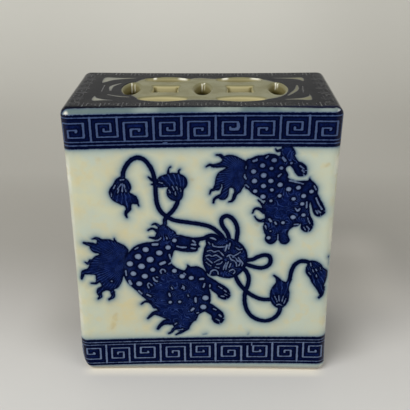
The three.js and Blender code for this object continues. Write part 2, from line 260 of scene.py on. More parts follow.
LOWER_LION = {
    "masses": (
        ((-40, 66), (-38.6, 70), (-36.5, 72.5), (-34, 75), (-31, 76.6), (-27, 77.6), (-24, 78), (-23.6, 80),
         (-22.6, 83), (-21.6, 86), (-19.6, 87.3), (-17.6, 87), (-15.4, 85), (-13.2, 83.4), (-12.4, 81.8),
         (-10, 81.5), (-7, 80.3), (-4, 79.4), (-2, 79), (-1.2, 78.2), (-1.8, 76.8), (-1.1, 75.2),
         (-2.1, 74.2), (-2.6, 72.7), (-5, 72.2), (-8, 72.2), (-11, 72.6), (-13.5, 73.2), (-14.3, 72.2),
         (-15, 70), (-15.8, 66.8), (-14.5, 64.6), (-12, 62.8), (-9.3, 61.8), (-8.4, 62.6), (-7.4, 64.4),
         (-6.4, 63.9), (-3, 64.2), (0, 63), (1.8, 61), (2.8, 58.8), (5, 57.2), (8, 55), (11, 53), (13.2, 51),
         (14.3, 48.6), (14, 46.2), (12, 44.7), (10, 45), (8.3, 46), (7.2, 48), (5, 49.8), (3.6, 51.2),
         (4.2, 47.6), (4.1, 44.2), (3.9, 42.6), (5.2, 41.8), (8, 39.4), (10.4, 37), (11.2, 34.5), (11, 32),
         (9.4, 30.2), (7.8, 30), (6, 31), (4.8, 32.8), (4.5, 35), (3, 36.2), (1.4, 37.3), (0, 37), (-2, 35.6),
         (-2.7, 34), (-3.5, 32.2), (-5, 31), (-6.3, 29), (-7.5, 27), (-9.2, 25.6), (-12, 25.2), (-14.2, 26.8),
         (-16.2, 29.8), (-19.6, 33.8), (-22.6, 37.4), (-25, 40.6), (-27, 43.2), (-29, 44.6), (-31, 46.5),
         (-34, 50), (-37, 53), (-39, 56), (-40, 60)),
        ((-36.8, 72.6), (-37.2, 74), (-39, 76), (-42, 77.6), (-44.5, 78.7), (-47, 79.3), (-50, 79),
         (-52, 78.6), (-52.7, 76.8), (-55, 77.4), (-56.2, 75.6), (-55.8, 73.6), (-54.4, 71.9), (-51.6, 70.9),
         (-53.6, 69.8), (-55.4, 68), (-56.4, 66.2), (-57, 64.6), (-58, 62.9), (-59.4, 61.2), (-57.4, 59.4),
         (-54.4, 59), (-54.2, 56.8), (-53.4, 55), (-52.2, 54.4), (-51.6, 52.6), (-53.6, 51.4), (-54.3, 49),
         (-53.4, 46.8), (-51.8, 47.2), (-51.4, 48.9), (-49.5, 50), (-47.6, 49.6), (-47, 47.6), (-45.4, 46.6),
         (-45, 48.6), (-45.2, 50.6), (-43.5, 51.3), (-42.2, 53), (-41.2, 55), (-40.4, 57.4), (-39.4, 60),
         (-39, 64), (-38.4, 69)),
    ),
    "curls": (
        ((-50, 78.2, 1.2), (-52.4, 79.6, 0.8), (-54.5, 79.3, 0.35)),
        ((-54.4, 75.8, 1.4), (-56.8, 76.6, 0.95), (-58.9, 77.2, 0.45)),
        ((-43, 77, 1), (-43.6, 79.5, 0.35)),
        ((-56, 66.8, 1.2), (-57.6, 65.6, 0.7), (-58.9, 66.4, 0.32)),
        ((-58, 61, 1.7), (-60.2, 60.4, 1.2), (-61, 58.4, 0.9), (-61.5, 56.9, 0.75)),
        ((-53, 56.4, 1.2), (-54, 54.4, 0.7), (-56.6, 54.2, 0.42)),
        ((-53.2, 49, 1.2), (-52.4, 46.6, 0.9), (-53.6, 45.1, 0.55)),
        ((-46, 49, 1.1), (-46, 46.4, 0.9), (-48.1, 44.7, 0.55)),
        ((-24.6, 40.6, 1.4), (-27, 42.9, 0.7), (-29.6, 43.4, 0.6), (-31.6, 41.9, 0.45)),
        ((-18.6, 35.4, 2.5), (-22, 36.5, 2), (-25.4, 36.3, 1.1), (-28.4, 33.4, 0.55)),
        ((-15.8, 31.4, 2.1), (-19.4, 31, 1.6), (-21.9, 29.2, 1), (-23.4, 27, 0.8)),
        ((-12, 28.6, 1.6), (-15, 26.8, 1), (-16.4, 24.8, 0.7), (-17.8, 24, 0.5)),
        ((-8.4, 27.6, 1.5), (-10.8, 25.2, 0.9), (-12.4, 24.2, 0.65), (-13.9, 23.3, 0.5)),
        ((-20, 85.4, 1.2), (-21.8, 86.8, 0.8), (-23.2, 87.6, 0.6), (-24.7, 87.1, 0.32)),
        ((-21, 82.6, 1.3), (-23.4, 84.6, 0.7), (-25.2, 84.9, 0.6), (-26.7, 84, 0.35)),
        ((-20, 79.6, 1.2), (-23.4, 79.8, 0.8), (-26.1, 80.2, 0.35)),
        ((-6.8, 63.6, 0.9), (-7.5, 64.8, 0.3)), ((-11.5, 80.6, 0.9), (-3, 79.3, 0.7)),
    ),
    "spots": (
        (-28.25, 73.45, 1.45), (-21.55, 71.65, 1.5), (-17.05, 74.65, 1.25), (-32.25, 69.55, 1.6),
        (-26.25, 67.85, 1.7),
        (-36.55, 65.45, 1.5), (-30.75, 64.05, 1.65), (-25.15, 62.15, 1.2), (-35.05, 59.85, 1.4),
        (-29.25, 58.35, 1.5),
        (-32.25, 53.95, 1.45), (-14.2, 61.5, 1.2), (-10.3, 58.4, 1.3), (-5.7, 57.4, 1.2), (1.5, 45.7, 1.55),
        (0.4, 40.3, 1.5), (-13.8, 78.6, 1.1), (-16.7, 43.1, 0.85), (-11.8, 43.3, 0.8), (-46.2, 55.4, 0.45),
    ),
    "lines": (
        ((-24.6, 76.3, 0.7), (-22.4, 76.4, 0.7)), ((-21, 65.4, 0.8), (-19, 66.3, 0.8)),
        ((-37.2, 55.6, 0.7), (-36.6, 54, 0.8)), ((-1.2, 56.7, 0.55), (0.4, 56.9, 0.6)),
        ((-3.6, 45.6, 0.6), (-3.5, 43.4, 0.6)), ((-5.8, 38.2, 0.6), (-4.8, 39.2, 0.7)),
        ((0.5, 52, 0.45), (1.1, 54, 0.45)), ((3.8, 53.4, 0.4), (3.8, 52.2, 0.4)),
        ((-38.8, 61.6, 0.4), (-38.6, 58.8, 0.4)), ((-16.5, 70.8, 0.4), (-16, 68.4, 0.4)),
        ((-12.6, 75.4, 0.4), (-10.6, 74.8, 0.5), (-8, 74.8, 0.4)), ((-3, 36.6, 0.4), (-2, 36.9, 0.3)),
        ((-20.9, 60, 0.4), (-21.2, 61.4, 0.4), (-20.2, 62.4, 0.3), (-19, 61.8, 0.4), (-18.8, 60.8, 0.35)),
        ((-25, 57.6, 0.4), (-24.4, 56, 0.5), (-23, 55.4, 0.4)), ((-23.6, 58, 0.35), (-22.8, 57.6, 0.35)),
        ((-27.4, 51.6, 0.4), (-28, 53.4, 0.4), (-27.2, 54.4, 0.3), (-25.8, 53, 0.4)),
        ((-28.4, 47.6, 0.5), (-26.6, 46.6, 0.4)), ((-32.6, 49.8, 0.4), (-31.2, 48.2, 0.4)),
        ((-33.6, 73.6, 0.3), (-32, 74.6, 0.3)), ((-17.2, 48.4, 0.4), (-16.8, 46.8, 0.5)),
        ((-15.9, 52, 0.4), (-15.4, 51, 0.4)), ((-10, 53, 0.3), (-9.4, 50.8, 0.4)),
        ((-10.6, 51.4, 0.35), (-9.2, 52.2, 0.3)), ((-7.6, 47.4, 0.35), (-7.2, 46.6, 0.35)),
        ((-18, 80.8, 0.3), (-17.4, 79.6, 0.4)), ((-23.8, 78.5, 0.35), (-21.8, 78.7, 0.4), (-20.4, 80, 0.3)),
        ((-4.6, 78.4, 0.5), (-3.6, 77.6, 0.4)), ((-5.2, 76.4, 0.5), (-3.4, 76.2, 0.5)),
        ((-5.6, 74.4, 0.35), (-3.4, 74, 0.35)), ((11, 50.4, 0.3), (12.2, 49.4, 0.35)),
        ((8.2, 52.6, 0.3), (10, 51.2, 0.3)), ((9.6, 46.8, 0.35), (11, 46.6, 0.35)),
        ((11.4, 48, 0.3), (12.6, 47.2, 0.3)), ((5.6, 39.2, 0.35), (6.8, 38.6, 0.4)),
        ((8.6, 35.6, 0.5), (9.6, 34.6, 0.5)), ((7, 33, 0.3), (8.6, 32, 0.35)),
        ((-14.6, 29.6, 0.3), (-13.6, 30.4, 0.35)), ((-17, 65.2, 0.3), (-15.6, 66.2, 0.35)),
        ((-9.4, 60.2, 0.35), (-8.6, 59.4, 0.35)), ((-13.4, 26, 0.3), (-10.4, 26.6, 0.3)),
        ((14.9, 47.7, 0.4), (13.2, 48.3, 0.12)), ((13.2, 44.2, 0.4), (12.2, 45.8, 0.12)),
        ((11.8, 33.1, 0.4), (10.2, 33.7, 0.12)), ((9.3, 29.5, 0.4), (8.7, 31.3, 0.12)),
    ),
    "hair": (((-37, 66), (-49, 63), 14, 18),),
    "curly": (((-15, 42), 17, 19), ((-18, 82), 7, 7)),
}

BALL = {
    "masses": (
        ((0.1, 69), (0.8, 73.6), (1.8, 76.4), (1.6, 78.6), (3, 80.2), (5.4, 80.8), (8, 80.4), (10.6, 79.8),
         (14, 79.8), (17.6, 78.4), (20.4, 75.8), (22.2, 72.4), (22.7, 68.6), (22, 64.6), (20.2, 61.2),
         (17.4, 58.6), (14, 57.3), (10.4, 57.6), (7.4, 58.6), (4.6, 58.6), (2.4, 60.4), (0.9, 63.6),
         (0.2, 66.4)),
    ),
    "lines": (
        ((4, 80, 0.3), (5.5, 79.7, 0.5), (6.7, 79, 0.35)), ((3, 77.8, 0.3), (3.8, 76.6, 0.35)),
        ((5, 76.8, 0.3), (5.6, 75.6, 0.35), (8, 75, 0.35), (11, 75.2, 0.35)),
        ((11.4, 72.8, 0.4), (12.3, 76, 0.5)), ((13, 73.6, 0.3), (13.8, 77, 0.4)),
        ((2.4, 72.6, 0.3), (4.4, 73.1, 0.3), (6, 72.2, 0.3), (8, 72.9, 0.3), (9.5, 71.6, 0.35),
         (10.6, 70.2, 0.3)),
        ((1.7, 69.9, 0.3), (3.4, 70.5, 0.3), (5, 69.8, 0.3), (6.7, 70.5, 0.3), (8.4, 69.6, 0.35),
         (9.8, 68.4, 0.3)),
        ((2, 68.8, 0.3), (3.6, 67.4, 0.35), (4.9, 66, 0.3)), ((6, 66.4, 0.3), (7.4, 67.4, 0.35),
         (9, 68.2, 0.3)),
        ((2, 66.4, 0.3), (3.2, 65.2, 0.3), (4.4, 64.4, 0.3)), ((7.2, 65.2, 0.3), (9, 65.6, 0.3),
         (10, 66.8, 0.3)),
        ((11.9, 66.2, 0.3), (11, 64, 0.35), (10.6, 62.2, 0.3)),
        ((13.1, 66.8, 0.3), (12.2, 64.4, 0.35), (11.9, 62.4, 0.3)),
        ((14.3, 65.8, 0.3), (13.5, 63.4, 0.35)), ((12.2, 69.6, 0.3), (13.9, 70.7, 0.35), (15.6, 70, 0.3),
         (17.4, 71, 0.3), (19, 72.2, 0.3)),
        ((13.5, 70, 0.3), (14.4, 68, 0.35), (15.9, 67.4, 0.35), (17, 66, 0.35), (17.3, 64, 0.3)),
        ((15.2, 69.2, 0.3), (16.6, 69, 0.3), (17.6, 67.4, 0.35), (19, 66.4, 0.3), (18.4, 64.6, 0.3)),
        ((18, 69.2, 0.3), (19, 67.8, 0.35), (20.2, 66, 0.35), (19.9, 64.4, 0.3)),
        ((13.6, 61.4, 0.3), (15.4, 62.4, 0.35), (16.5, 61.2, 0.3), (15.7, 59.9, 0.3)),
        ((3.9, 59.4, 0.3), (4.3, 61.2, 0.35), (6, 62.1, 0.4), (7.5, 61.4, 0.35), (8, 59.6, 0.3)),
        ((16.8, 74.8, 0.3), (18.2, 73.6, 0.3), (19.8, 73.9, 0.3)), ((6.4, 63.6, 0.3), (8.4, 63.2, 0.3)),
    ),
    "curly": (((11.4, 69), 10.5, 11),),
}

RIBBONS = (
    ((-37.4, 112), (-37, 114.8), (-35.3, 118.2), (-32.7, 120.9), (-29.7, 121.8), (-26.8, 120.6),
     (-24.6, 117.8), (-23.1, 114.2), (-22.3, 109), (-22.2, 103), (-21.7, 98), (-20.2, 94.4), (-17.9, 92),
     (-15, 90.1), (-12, 89.2), (-8, 88.6), (-4, 88), (0, 87.3), (4, 86.1), (7, 84), (9.4, 81.6), (11, 79)),
    ((-11.3, 101), (-12.3, 98), (-14, 95), (-16.2, 92.6), (-18, 90.4), (-18.3, 87.6)),
    ((-6, 79.1), (-2, 79.3), (0.8, 79.8), (2.4, 80.7), (4.2, 81.4), (6.2, 81.2), (7.6, 80.2), (8.8, 78.8)),
    ((13.4, 79), (12.9, 81.4), (12.1, 83.3), (10.9, 85.2), (9.8, 87.2), (9.4, 89.3), (10, 91), (12, 92),
     (14.2, 91.1), (16.3, 88.4), (17.4, 84.5), (17.1, 79.6), (16.8, 77)),
    ((21.6, 67.8), (25, 68), (28, 69.7), (31, 70.6), (33.4, 70), (34.3, 67.5), (33.2, 64.8), (30, 63.4),
     (26.5, 63.8), (21.6, 65.4)),
    ((16.4, 59.4), (18, 55.5), (20, 52.5), (22, 50.2), (24.5, 48), (27.5, 46.2), (30.5, 45.1), (35, 45)),
    ((20.2, 63.8), (22.4, 60.8), (23.5, 57.4), (23.1, 53.4), (22, 50), (21.6, 46), (22, 41.5), (23.6, 37.2),
     (26.5, 34), (30, 32.4), (33.5, 32.2), (37, 33.9), (39.3, 36.8), (40.2, 40.8)),
    ((43, 53), (44.2, 57), (44.9, 61.6), (46.5, 65.3), (49.2, 67.2), (52, 67.1), (54, 66.4)),
)

TASSELS = {
    "masses": (
        ((-38.2, 112.4), (-36, 111.4), (-34.3, 109), (-33.8, 106.4), (-34.7, 104.2), (-33, 103.2),
         (-31.6, 101.4), (-31, 99.4), (-32, 98), (-33.8, 98.1), (-34.3, 96.2), (-35.2, 94.2), (-36.6, 93.6),
         (-37, 95.4), (-37.6, 97), (-40, 98.1), (-43, 100), (-44.6, 103), (-44.1, 106), (-42.4, 108.2),
         (-41.2, 110.4), (-39.6, 111.8)),
        ((-21.6, 110.4), (-20, 112.4), (-17, 113.6), (-13.5, 114.3), (-10, 113.7), (-7.7, 112), (-6.8, 109.5),
         (-7.5, 107), (-8.8, 105.4), (-9, 102.8), (-10.2, 100.3), (-12.6, 99.6), (-15, 100.4), (-16.8, 102.6),
         (-16.9, 105.4), (-16.2, 106.9), (-18, 106.9), (-20.6, 106.7), (-22.2, 108.4)),
        ((37.4, 58.3), (40.4, 56.2), (43, 54.8), (44, 52), (44.4, 48), (44, 44), (42.5, 41.4), (40.5, 39.7),
         (38.8, 39.9), (36.5, 41.4), (35, 44), (34.4, 47), (34.6, 50), (35.8, 52.8), (37.2, 55)),
        ((52, 67), (54, 67.7), (57, 67.4), (59.6, 65.5), (60.8, 63.6), (63.4, 61.4), (63.4, 57.4), (62, 54),
         (61.5, 51), (61, 49), (59.6, 48.2), (58.8, 49.8), (57.4, 52), (55.4, 55), (53.9, 58), (52.2, 60.5),
         (51.9, 63), (52.6, 65.4)),
    ),
    "curls": (
        ((-32.8, 101.2, 1.6), (-31.5, 99.4, 0.9), (-30.6, 97.2, 0.38)),
        ((-35.4, 95.6, 1.2), (-37.2, 93.2, 0.8), (-36.7, 91, 0.38)),
        ((-15.9, 113, 1), (-15.9, 115.2, 0.5), (-15.5, 116.6, 0.32), (-14.7, 117.2, 0.38)),
        ((-10.9, 113, 0.7), (-10.9, 115.2, 0.45), (-10.3, 115.9, 0.36)),
        ((-21, 109.8, 0.9), (-23.6, 110.6, 0.75), (-25.3, 112.1, 0.45)),
        ((-21, 107.8, 0.8), (-24, 108.4, 0.38)),
        ((38.6, 56.4, 1.2), (37.6, 57.8, 0.75), (36.2, 59, 0.45)),
        ((61.4, 50.6, 1.1), (60.8, 48, 1), (59.6, 46.5, 0.75)),
        ((61.6, 52, 0.9), (61.4, 49.4, 0.6)),
    ),
    "lines": (
        ((-38.8, 110.5, 0.35), (-37.2, 110.7, 0.4)), ((-38.4, 108.6, 0.25), (-40.4, 105.8, 0.3)),
        ((-37.9, 108.8, 0.25), (-38.2, 104.6, 0.35)), ((-37.2, 108.4, 0.25), (-36.4, 104.6, 0.3)),
        ((-39.8, 106, 0.25), (-40.4, 103.8, 0.3)), ((-41.3, 108, 0.25), (-42.4, 106, 0.3)),
        ((-43.4, 104.6, 0.25), (-43.5, 102.2, 0.3)),
        ((-20.4, 109.4, 0.3), (-18.8, 109, 0.3)), ((-14.2, 107.4, 0.3), (-13.4, 105.4, 0.35)),
        ((-12.2, 107.2, 0.3), (-11.6, 105.6, 0.3)), ((-15.8, 105.4, 0.3), (-15.2, 104, 0.3)),
        ((-12.9, 104.6, 0.3), (-12.6, 102.8, 0.3)), ((-10.4, 106.4, 0.2), (-10, 104.8, 0.25)),
        ((37, 47, 0.25), (38.4, 43.6, 0.3)), ((39, 47.4, 0.25), (39.4, 44, 0.3)),
        ((41.4, 47.2, 0.25), (40.8, 43.8, 0.3)), ((42.8, 45.8, 0.25), (41.8, 42.8, 0.3)),
        ((38.2, 41.8, 0.3), (39.6, 42.2, 0.3), (40.8, 41.4, 0.3)),
        ((54.2, 66.2, 0.3), (54.6, 64.6, 0.3)), ((55.4, 62.6, 0.3), (56, 61.2, 0.3)),
        ((57, 62.8, 0.35), (57.6, 62, 0.35)), ((53.6, 61, 0.3), (54.6, 59.6, 0.3)),
        ((59, 64, 0.25), (59.6, 62.6, 0.25)), ((57.4, 59.6, 0.25), (57.8, 58, 0.25)),
    ),
    "hair": (
        ((-37.8, 113), (-39, 104), 6.5, 9), ((-9, 99), (-14, 108), 8, 8), ((40, 37), (40, 48), 6, 10),
        ((52, 70), (58, 58), 7, 12),
    ),
}

# The narrow sides: a brocade ball with two hanging tassels, each like one of the front's

SIDE_BALL_MOVE = (-11.6, 17)
SIDE_RIBBONS = (
    ((1.4, 96), (-1, 100.4), (-2.6, 104.5), (-2.2, 108), (0, 109.2), (2.5, 108.3), (4.8, 105.5), (5.9, 101.5),
     (5.4, 96.6)),
    ((-4, 76.4), (-8, 72.4), (-11.2, 67.6), (-11, 62), (-6.8, 57.6), (-0.4, 54), (5.4, 50.2), (9.4, 45.4),
     (11, 40.4)),
    ((4.6, 76), (9.2, 71.4), (11.6, 66), (10, 60.6), (5, 56.8), (-1, 53), (-7, 48.6), (-11, 44.8)),
)
SIDE_TASSEL_MOVES = ((-51, -4.4), (-29, 0.4))
SIDE_TASSEL_PARTS = {"masses": slice(2, 3), "curls": slice(6, 7), "lines": slice(12, 17)}
SIDE_BAND_HALF = 31.4
SIDE_BANDS = ((143.0, 127.0), (4.6, 20.8))
SIDE_TALL = (-58.2, -42.4, -29, -12.9, 0, 16, 29.2, 45)

# The pierced end: the outer edges of its print, its key frame, slips of the transfer, the bare
# medallion and corners, and pale lines

TOP_OUTER = (64.0, 34.2)
TOP_FRONT = (-33.25, 0.5, -0.4)
TOP_INNER = 54.0
TOP_FRET_START = 1.5
FAINT = 0.07
TOP_SLIPS = (
    ((20, -32.4, 0.6), (38, -32.6, 0.75), (54, -32.8, 0.9), (60, -32.8, 0.8)),
    ((37, 12.6, 0.3), (39, 10.4, 0.9), (41, 7.4, 0.6)),
)
MEDALLION = (
    (-37.4, -1), (-37, 4.6), (-35.6, 9.6), (-33.8, 14.4), (-32.2, 18), (-30, 19.6), (-28, 19.4),
    (-26.4, 17.9),
    (-24.6, 19.2), (-22.6, 21.6), (-19.6, 23.6), (-15, 23.4), (-12.6, 21.4), (-10, 19.2), (-7.6, 19),
    (-5, 21.4), (-1, 22.2), (3.5, 20.9), (7.4, 20.2), (10, 18.7), (12.6, 20.4), (15, 22.6), (18, 23.5),
    (22, 22.9), (26, 20.5), (31, 18.6), (34, 16), (36.6, 13), (39, 10.6), (40.6, 5.6), (41.6, 0), (41, -9),
    (37, -16), (31, -20), (25, -22.6), (18.5, -24.4), (12, -23.4), (8, -22.2), (0, -21.8), (-8, -22.2),
    (-13, -23.4), (-18.5, -24.6), (-25, -23.4), (-29.4, -20.4), (-32.6, -15.6), (-35.8, -9),
)
SPANDRELS = (
    ((-51.5, 21.6), (-44, 21.5), (-35, 21.3), (-40, 19.4), (-46, 17), (-50, 12.4), (-51.6, 11)),
    ((-51.6, -14), (-50, -17.6), (-46, -20.6), (-41, -22), (-46, -22.2), (-51.6, -22.4)),
    ((35, 21.3), (44, 21.6), (51.6, 21.6), (51.6, 14), (49, 17.8), (44, 19.8)),
    ((51.6, -9), (51, -14), (47, -18), (38, -20.4), (45, -20.8), (51.6, -21)),
)
TOP_LINES = (
    ((-42, 10, 0.5), (-45.6, 4, 1.1), (-45.4, -4, 0.6)), ((-45.4, -12, 0.5), (-40, -15, 0.7),
     (-35, -16, 0.5)),
    ((47.4, 6, 0.5), (46.4, -2, 1.1), (43.6, -8.6, 0.9), (41, -13.4, 0.4)),
    ((-49.6, 6, 0.3), (-49.4, -6, 0.3)), ((50, 4, 0.3), (49, -8, 0.3)),
)


# Splines and distances


def curve(points, closed):
    """A smooth curve through given points; a third column, a radius, goes along."""
    p = np.array(points, float)
    if closed:
        p = np.vstack([p[-1], p, p[:2]])
    else:
        p = np.vstack([2 * p[0] - p[1], p, 2 * p[-1] - p[-2]])
    t = (np.arange(CURVE_STEPS) / CURVE_STEPS)[None, :, None]
    a, b, c, d = (p[i:len(p) - 3 + i][:, None, :] for i in range(4))
    smooth = b + 0.5 * t * (c - a + t * (2 * a - 5 * b + 4 * c - d + t * (3 * b - a - 3 * c + d)))
    smooth = smooth.reshape(-1, p.shape[1])
    return smooth if closed else np.vstack([smooth, p[-2]])


def from_run(u, v, ax, ay, bx, by):
    """The way from a straight run to points, and how far along it their nearest place is."""
    dx, dy = bx - ax, by - ay
    t = np.clip(((u - ax) * dx + (v - ay) * dy) / (dx * dx + dy * dy + 1e-12), 0, 1)
    return u - ax - t * dx, v - ay - t * dy, t


def inside(u, v, path):
    """How far points are inside a closed path; outside it is below 0."""
    nearest = np.full(len(u), np.inf)
    within = np.zeros(len(u), bool)
    for (ax, ay), (bx, by) in zip(path, np.roll(path, -1, axis=0)):
        across, up, _ = from_run(u, v, ax, ay, bx, by)
        nearest = np.minimum(nearest, across ** 2 + up ** 2)
        slope = (bx - ax) / (by - ay) if by != ay else 0.0
        within ^= ((ay > v) != (by > v)) & (u < ax + (v - ay) * slope)
    return np.where(within, 1, -1) * np.sqrt(nearest)


def along(u, v, path):
    """How far points are inside a stroke whose third column is its radius."""
    deepest = np.full(len(u), -np.inf)
    for (ax, ay, ar), (bx, by, br) in zip(path[:-1], path[1:]):
        across, up, t = from_run(u, v, ax, ay, bx, by)
        deepest = np.maximum(deepest, ar + t * (br - ar) - np.hypot(across, up))
    return deepest


# Drawing the prints

# The comb's number where hair is curled, the least where it is combed, and what a sheet carries

CURLY, COMBED = 40.0, 100.0
PRINT_PARTS = ("ink", "comb", "veil", "band")


class Sheet:
    """A transfer over some points of the body: how deep each is in the ink, and its hair lines."""

    def __init__(self, u, v):
        self.u, self.v = u, v
        self.ink = np.full(len(u), -REACH)
        self.comb = np.zeros(len(u))
        self.veil = np.zeros(len(u))
        self.band = np.full(len(u), NO_BAND)

    def dim(self):
        """Marks what is in the ink so far: pale lines cut into it later stay bluish."""
        self.veil = np.maximum(self.veil, np.clip(self.ink, 0, 1))

    def lay(self, path, depth_in, cut=False):
        """Adds a path's ink to the points near it, or cuts it out of theirs."""
        (left, low), (right, high) = path[:, :2].min(0) - REACH, path[:, :2].max(0) + REACH
        at = (self.u > left) & (self.u < right) & (self.v > low) & (self.v < high)
        depth = depth_in(self.u[at], self.v[at], path)
        self.ink[at] = np.minimum(self.ink[at], -depth) if cut else np.maximum(self.ink[at], depth)

    def fill(self, outline):
        self.lay(curve(outline, True), inside)

    def bare(self, outline):
        self.lay(curve(outline, True), inside, cut=True)

    def stroke(self, points):
        self.lay(curve(points, False), along)

    def scratch(self, points):
        self.lay(curve(points, False), along, cut=True)

    def spot(self, x, y, radius):
        wide, tall = SPOT_SHAPE
        self.ink = np.minimum(self.ink, np.hypot((self.u - x) * wide, (self.v - y) * tall) - radius)

    def oval(self, middle, half_width, half_height):
        return np.hypot((self.u - middle[0]) / half_width, (self.v - middle[1]) / half_height) < 1

    def curly(self, middle, half_width, half_height):
        """Curled hair lines over an oval."""
        self.comb[self.oval(middle, half_width, half_height)] = CURLY

    def hair(self, root, middle, half_width, half_height):
        """Hair lines that fan out from a root, over an oval."""
        oval = self.oval(middle, half_width, half_height)
        turn = np.arctan2(self.v[oval] - root[1], self.u[oval] - root[0])
        self.comb[oval] = COMBED + (turn % (2 * math.pi)) * (half_width + half_height) / 2


def moved(points, across, up):
    return [(point[0] + across, point[1] + up, *point[2:]) for point in points]


def draw_dark(sheet, figure, across=0, up=0):
    for outline in figure.get("masses", ()):
        sheet.fill(moved(outline, across, up))
    for curl in figure.get("curls", ()):
        sheet.stroke(moved(curl, across, up))
    for middle, half_width, half_height in figure.get("curly", ()):
        sheet.curly(*moved((middle,), across, up), half_width, half_height)
    for root, middle, half_width, half_height in figure.get("hair", ()):
        sheet.hair(*moved((root, middle), across, up), half_width, half_height)


def draw_pale(sheet, figure, across=0, up=0):
    for spot in moved(figure.get("spots", ()), across, up):
        sheet.spot(*spot)
    for line in figure.get("lines", ()):
        sheet.scratch(moved(line, across, up))


def draw_ribbon(sheet, points):
    sheet.stroke([(x, y, RIBBON) for x, y in points])


def fret_lines(across, depth):
    """How far points are outside the pale lines of the key fret, whose level runs are the thinner."""
    away = np.full(len(across), REACH)
    place = across % FRET_PITCH
    for key in FRET_KEYS:
        path = np.array([(x, y * FRET_LINE_FLATNESS, FRET_LINE) for x, y in key], float)
        for turn in (-FRET_PITCH, 0, FRET_PITCH):
            away = np.minimum(away, -along(place, depth * FRET_LINE_FLATNESS, path + (turn, 0, 0)))
    return away


def key_band(sheet, free, inner, half_length, tall):
    """A key fret between two edges, its tall lines at given places; the material rules it lengthwise."""
    depth = (sheet.v - free) / (inner - free) * FRET_DEPTH
    ink = np.minimum(np.minimum(depth, FRET_DEPTH - depth), half_length - np.abs(sheet.u))
    sheet.veil = np.maximum(sheet.veil, np.clip(ink * 2, 0, 1))
    sheet.band = np.minimum(sheet.band, np.clip(depth, PAST_BAND, NO_BAND))
    near = np.flatnonzero(ink > -0.1)
    even = [FRET_PITCH * (i // 2) + FRET_TALL[i % 2] for i in range(len(tall))]
    ink[near] = np.minimum(ink[near], fret_lines(np.interp(sheet.u[near], tall, even), depth[near]))
    sheet.ink = np.maximum(sheet.ink, np.maximum(ink, -REACH))


def edge_line(across, shape):
    middle, tilt, bend = shape
    t = across / HALF_WIDTH
    return middle + tilt * t + bend * t * t


def sunk_drop(across, height):
    """How much lower a print lies where the slab has sunk back, as the drawings were made flat."""
    upright = 1 - (2 * height / HEIGHT - 1) ** 2
    bow = np.maximum(1 - (across / HALF_WIDTH) ** 2, 0)
    return SUNK_DROP * bow * (FRONT_PULL + FRONT_BELLY * upright)


def draw_broad(sheet):
    """The front's print: two lions, a brocade ball and four tassels between two key bands."""
    sheet.v = sheet.v + PRINT_DROP + sunk_drop(sheet.u, sheet.v)
    sheet.u = sheet.u * PRINT_SHRINK
    bands = (UPPER_FREE, UPPER_INNER, UPPER_TALL), (LOWER_FREE, LOWER_INNER, LOWER_TALL)
    for free, inner, tall in bands:
        key_band(sheet, edge_line(sheet.u, free), edge_line(sheet.u, inner), BAND_HALF_LENGTH, tall)
    for blot in BAND_BLOTS:
        sheet.stroke(blot)
    for nick in BAND_NICKS:
        sheet.scratch(nick)
    for smudge in SMUDGES:
        sheet.stroke(smudge)
    figures = (UPPER_LION, LOWER_LION, BALL, TASSELS)
    for figure in figures:
        draw_dark(sheet, figure)
    for ribbon in RIBBONS:
        draw_ribbon(sheet, ribbon)
    sheet.dim()
    for figure in figures:
        draw_pale(sheet, figure)


def draw_narrow(sheet):
    """A side's print: the brocade ball over two tassels, between two key bands."""
    for free, inner in SIDE_BANDS:
        flat = np.full(len(sheet.u), float(free))
        key_band(sheet, flat, flat + (inner - free), SIDE_BAND_HALF, SIDE_TALL)
    tassel = {name: TASSELS[name][part] for name, part in SIDE_TASSEL_PARTS.items()}
    draw_dark(sheet, BALL, *SIDE_BALL_MOVE)
    for across, up in SIDE_TASSEL_MOVES:
        draw_dark(sheet, tassel, across, up)
    for ribbon in SIDE_RIBBONS:
        draw_ribbon(sheet, ribbon)
    sheet.dim()
    draw_pale(sheet, BALL, *SIDE_BALL_MOVE)
    for across, up in SIDE_TASSEL_MOVES:
        draw_pale(sheet, tassel, across, up)


def draw_top(sheet):
    """The pierced end's print: a key frame, dark crescents and a bare medallion round the lattice."""
    half_x, back = TOP_OUTER
    x, y = sheet.u, sheet.v
    from_ends = half_x - np.abs(x)
    from_sides = np.minimum(back - y, y - edge_line(x, TOP_FRONT))
    depth = np.minimum(from_ends, from_sides)
    sheet.band[:] = PAST_BAND
    sheet.ink = np.maximum(depth, -REACH)
    for outline in (MEDALLION, *SPANDRELS):
        sheet.bare(outline)
    for slip in TOP_SLIPS:
        sheet.stroke(slip)
    for line in TOP_LINES:
        sheet.scratch(line)
    scale = (half_x - TOP_INNER) / FRET_DEPTH
    near = np.flatnonzero((depth > TOP_FRET_START * scale) & (depth < FRET_DEPTH * scale))
    run = np.where(from_ends < from_sides, y, x)[near]
    lines = fret_lines(run / scale, depth[near] / scale) * scale
    sheet.ink[near] = np.minimum(sheet.ink[near], np.maximum(lines, -FAINT))


def rust_marks(across, height):
    """Where the front has faint rusty stains, from 0 to 1."""
    mark = np.zeros(len(across))
    for stain in RUST:
        depth = along(across, height, curve(stain, False))
        mark = np.maximum(mark, np.exp(-(np.minimum(depth, 0) / RUST_BLUR) ** 2))
    return mark


# Girth and surface of the body

SEAM = HALF_DEPTH - WALL


def straight(start, end):
    """Places and outward normals along a straight run, without its last."""
    start, end = np.array(start, float), np.array(end, float)
    length = np.linalg.norm(end - start)
    count = max(round(length / STEP), 1)
    way = (end - start) / length
    places = start + (end - start) * np.arange(count)[:, None] / count
    return places, np.tile((way[1], -way[0]), (count, 1))


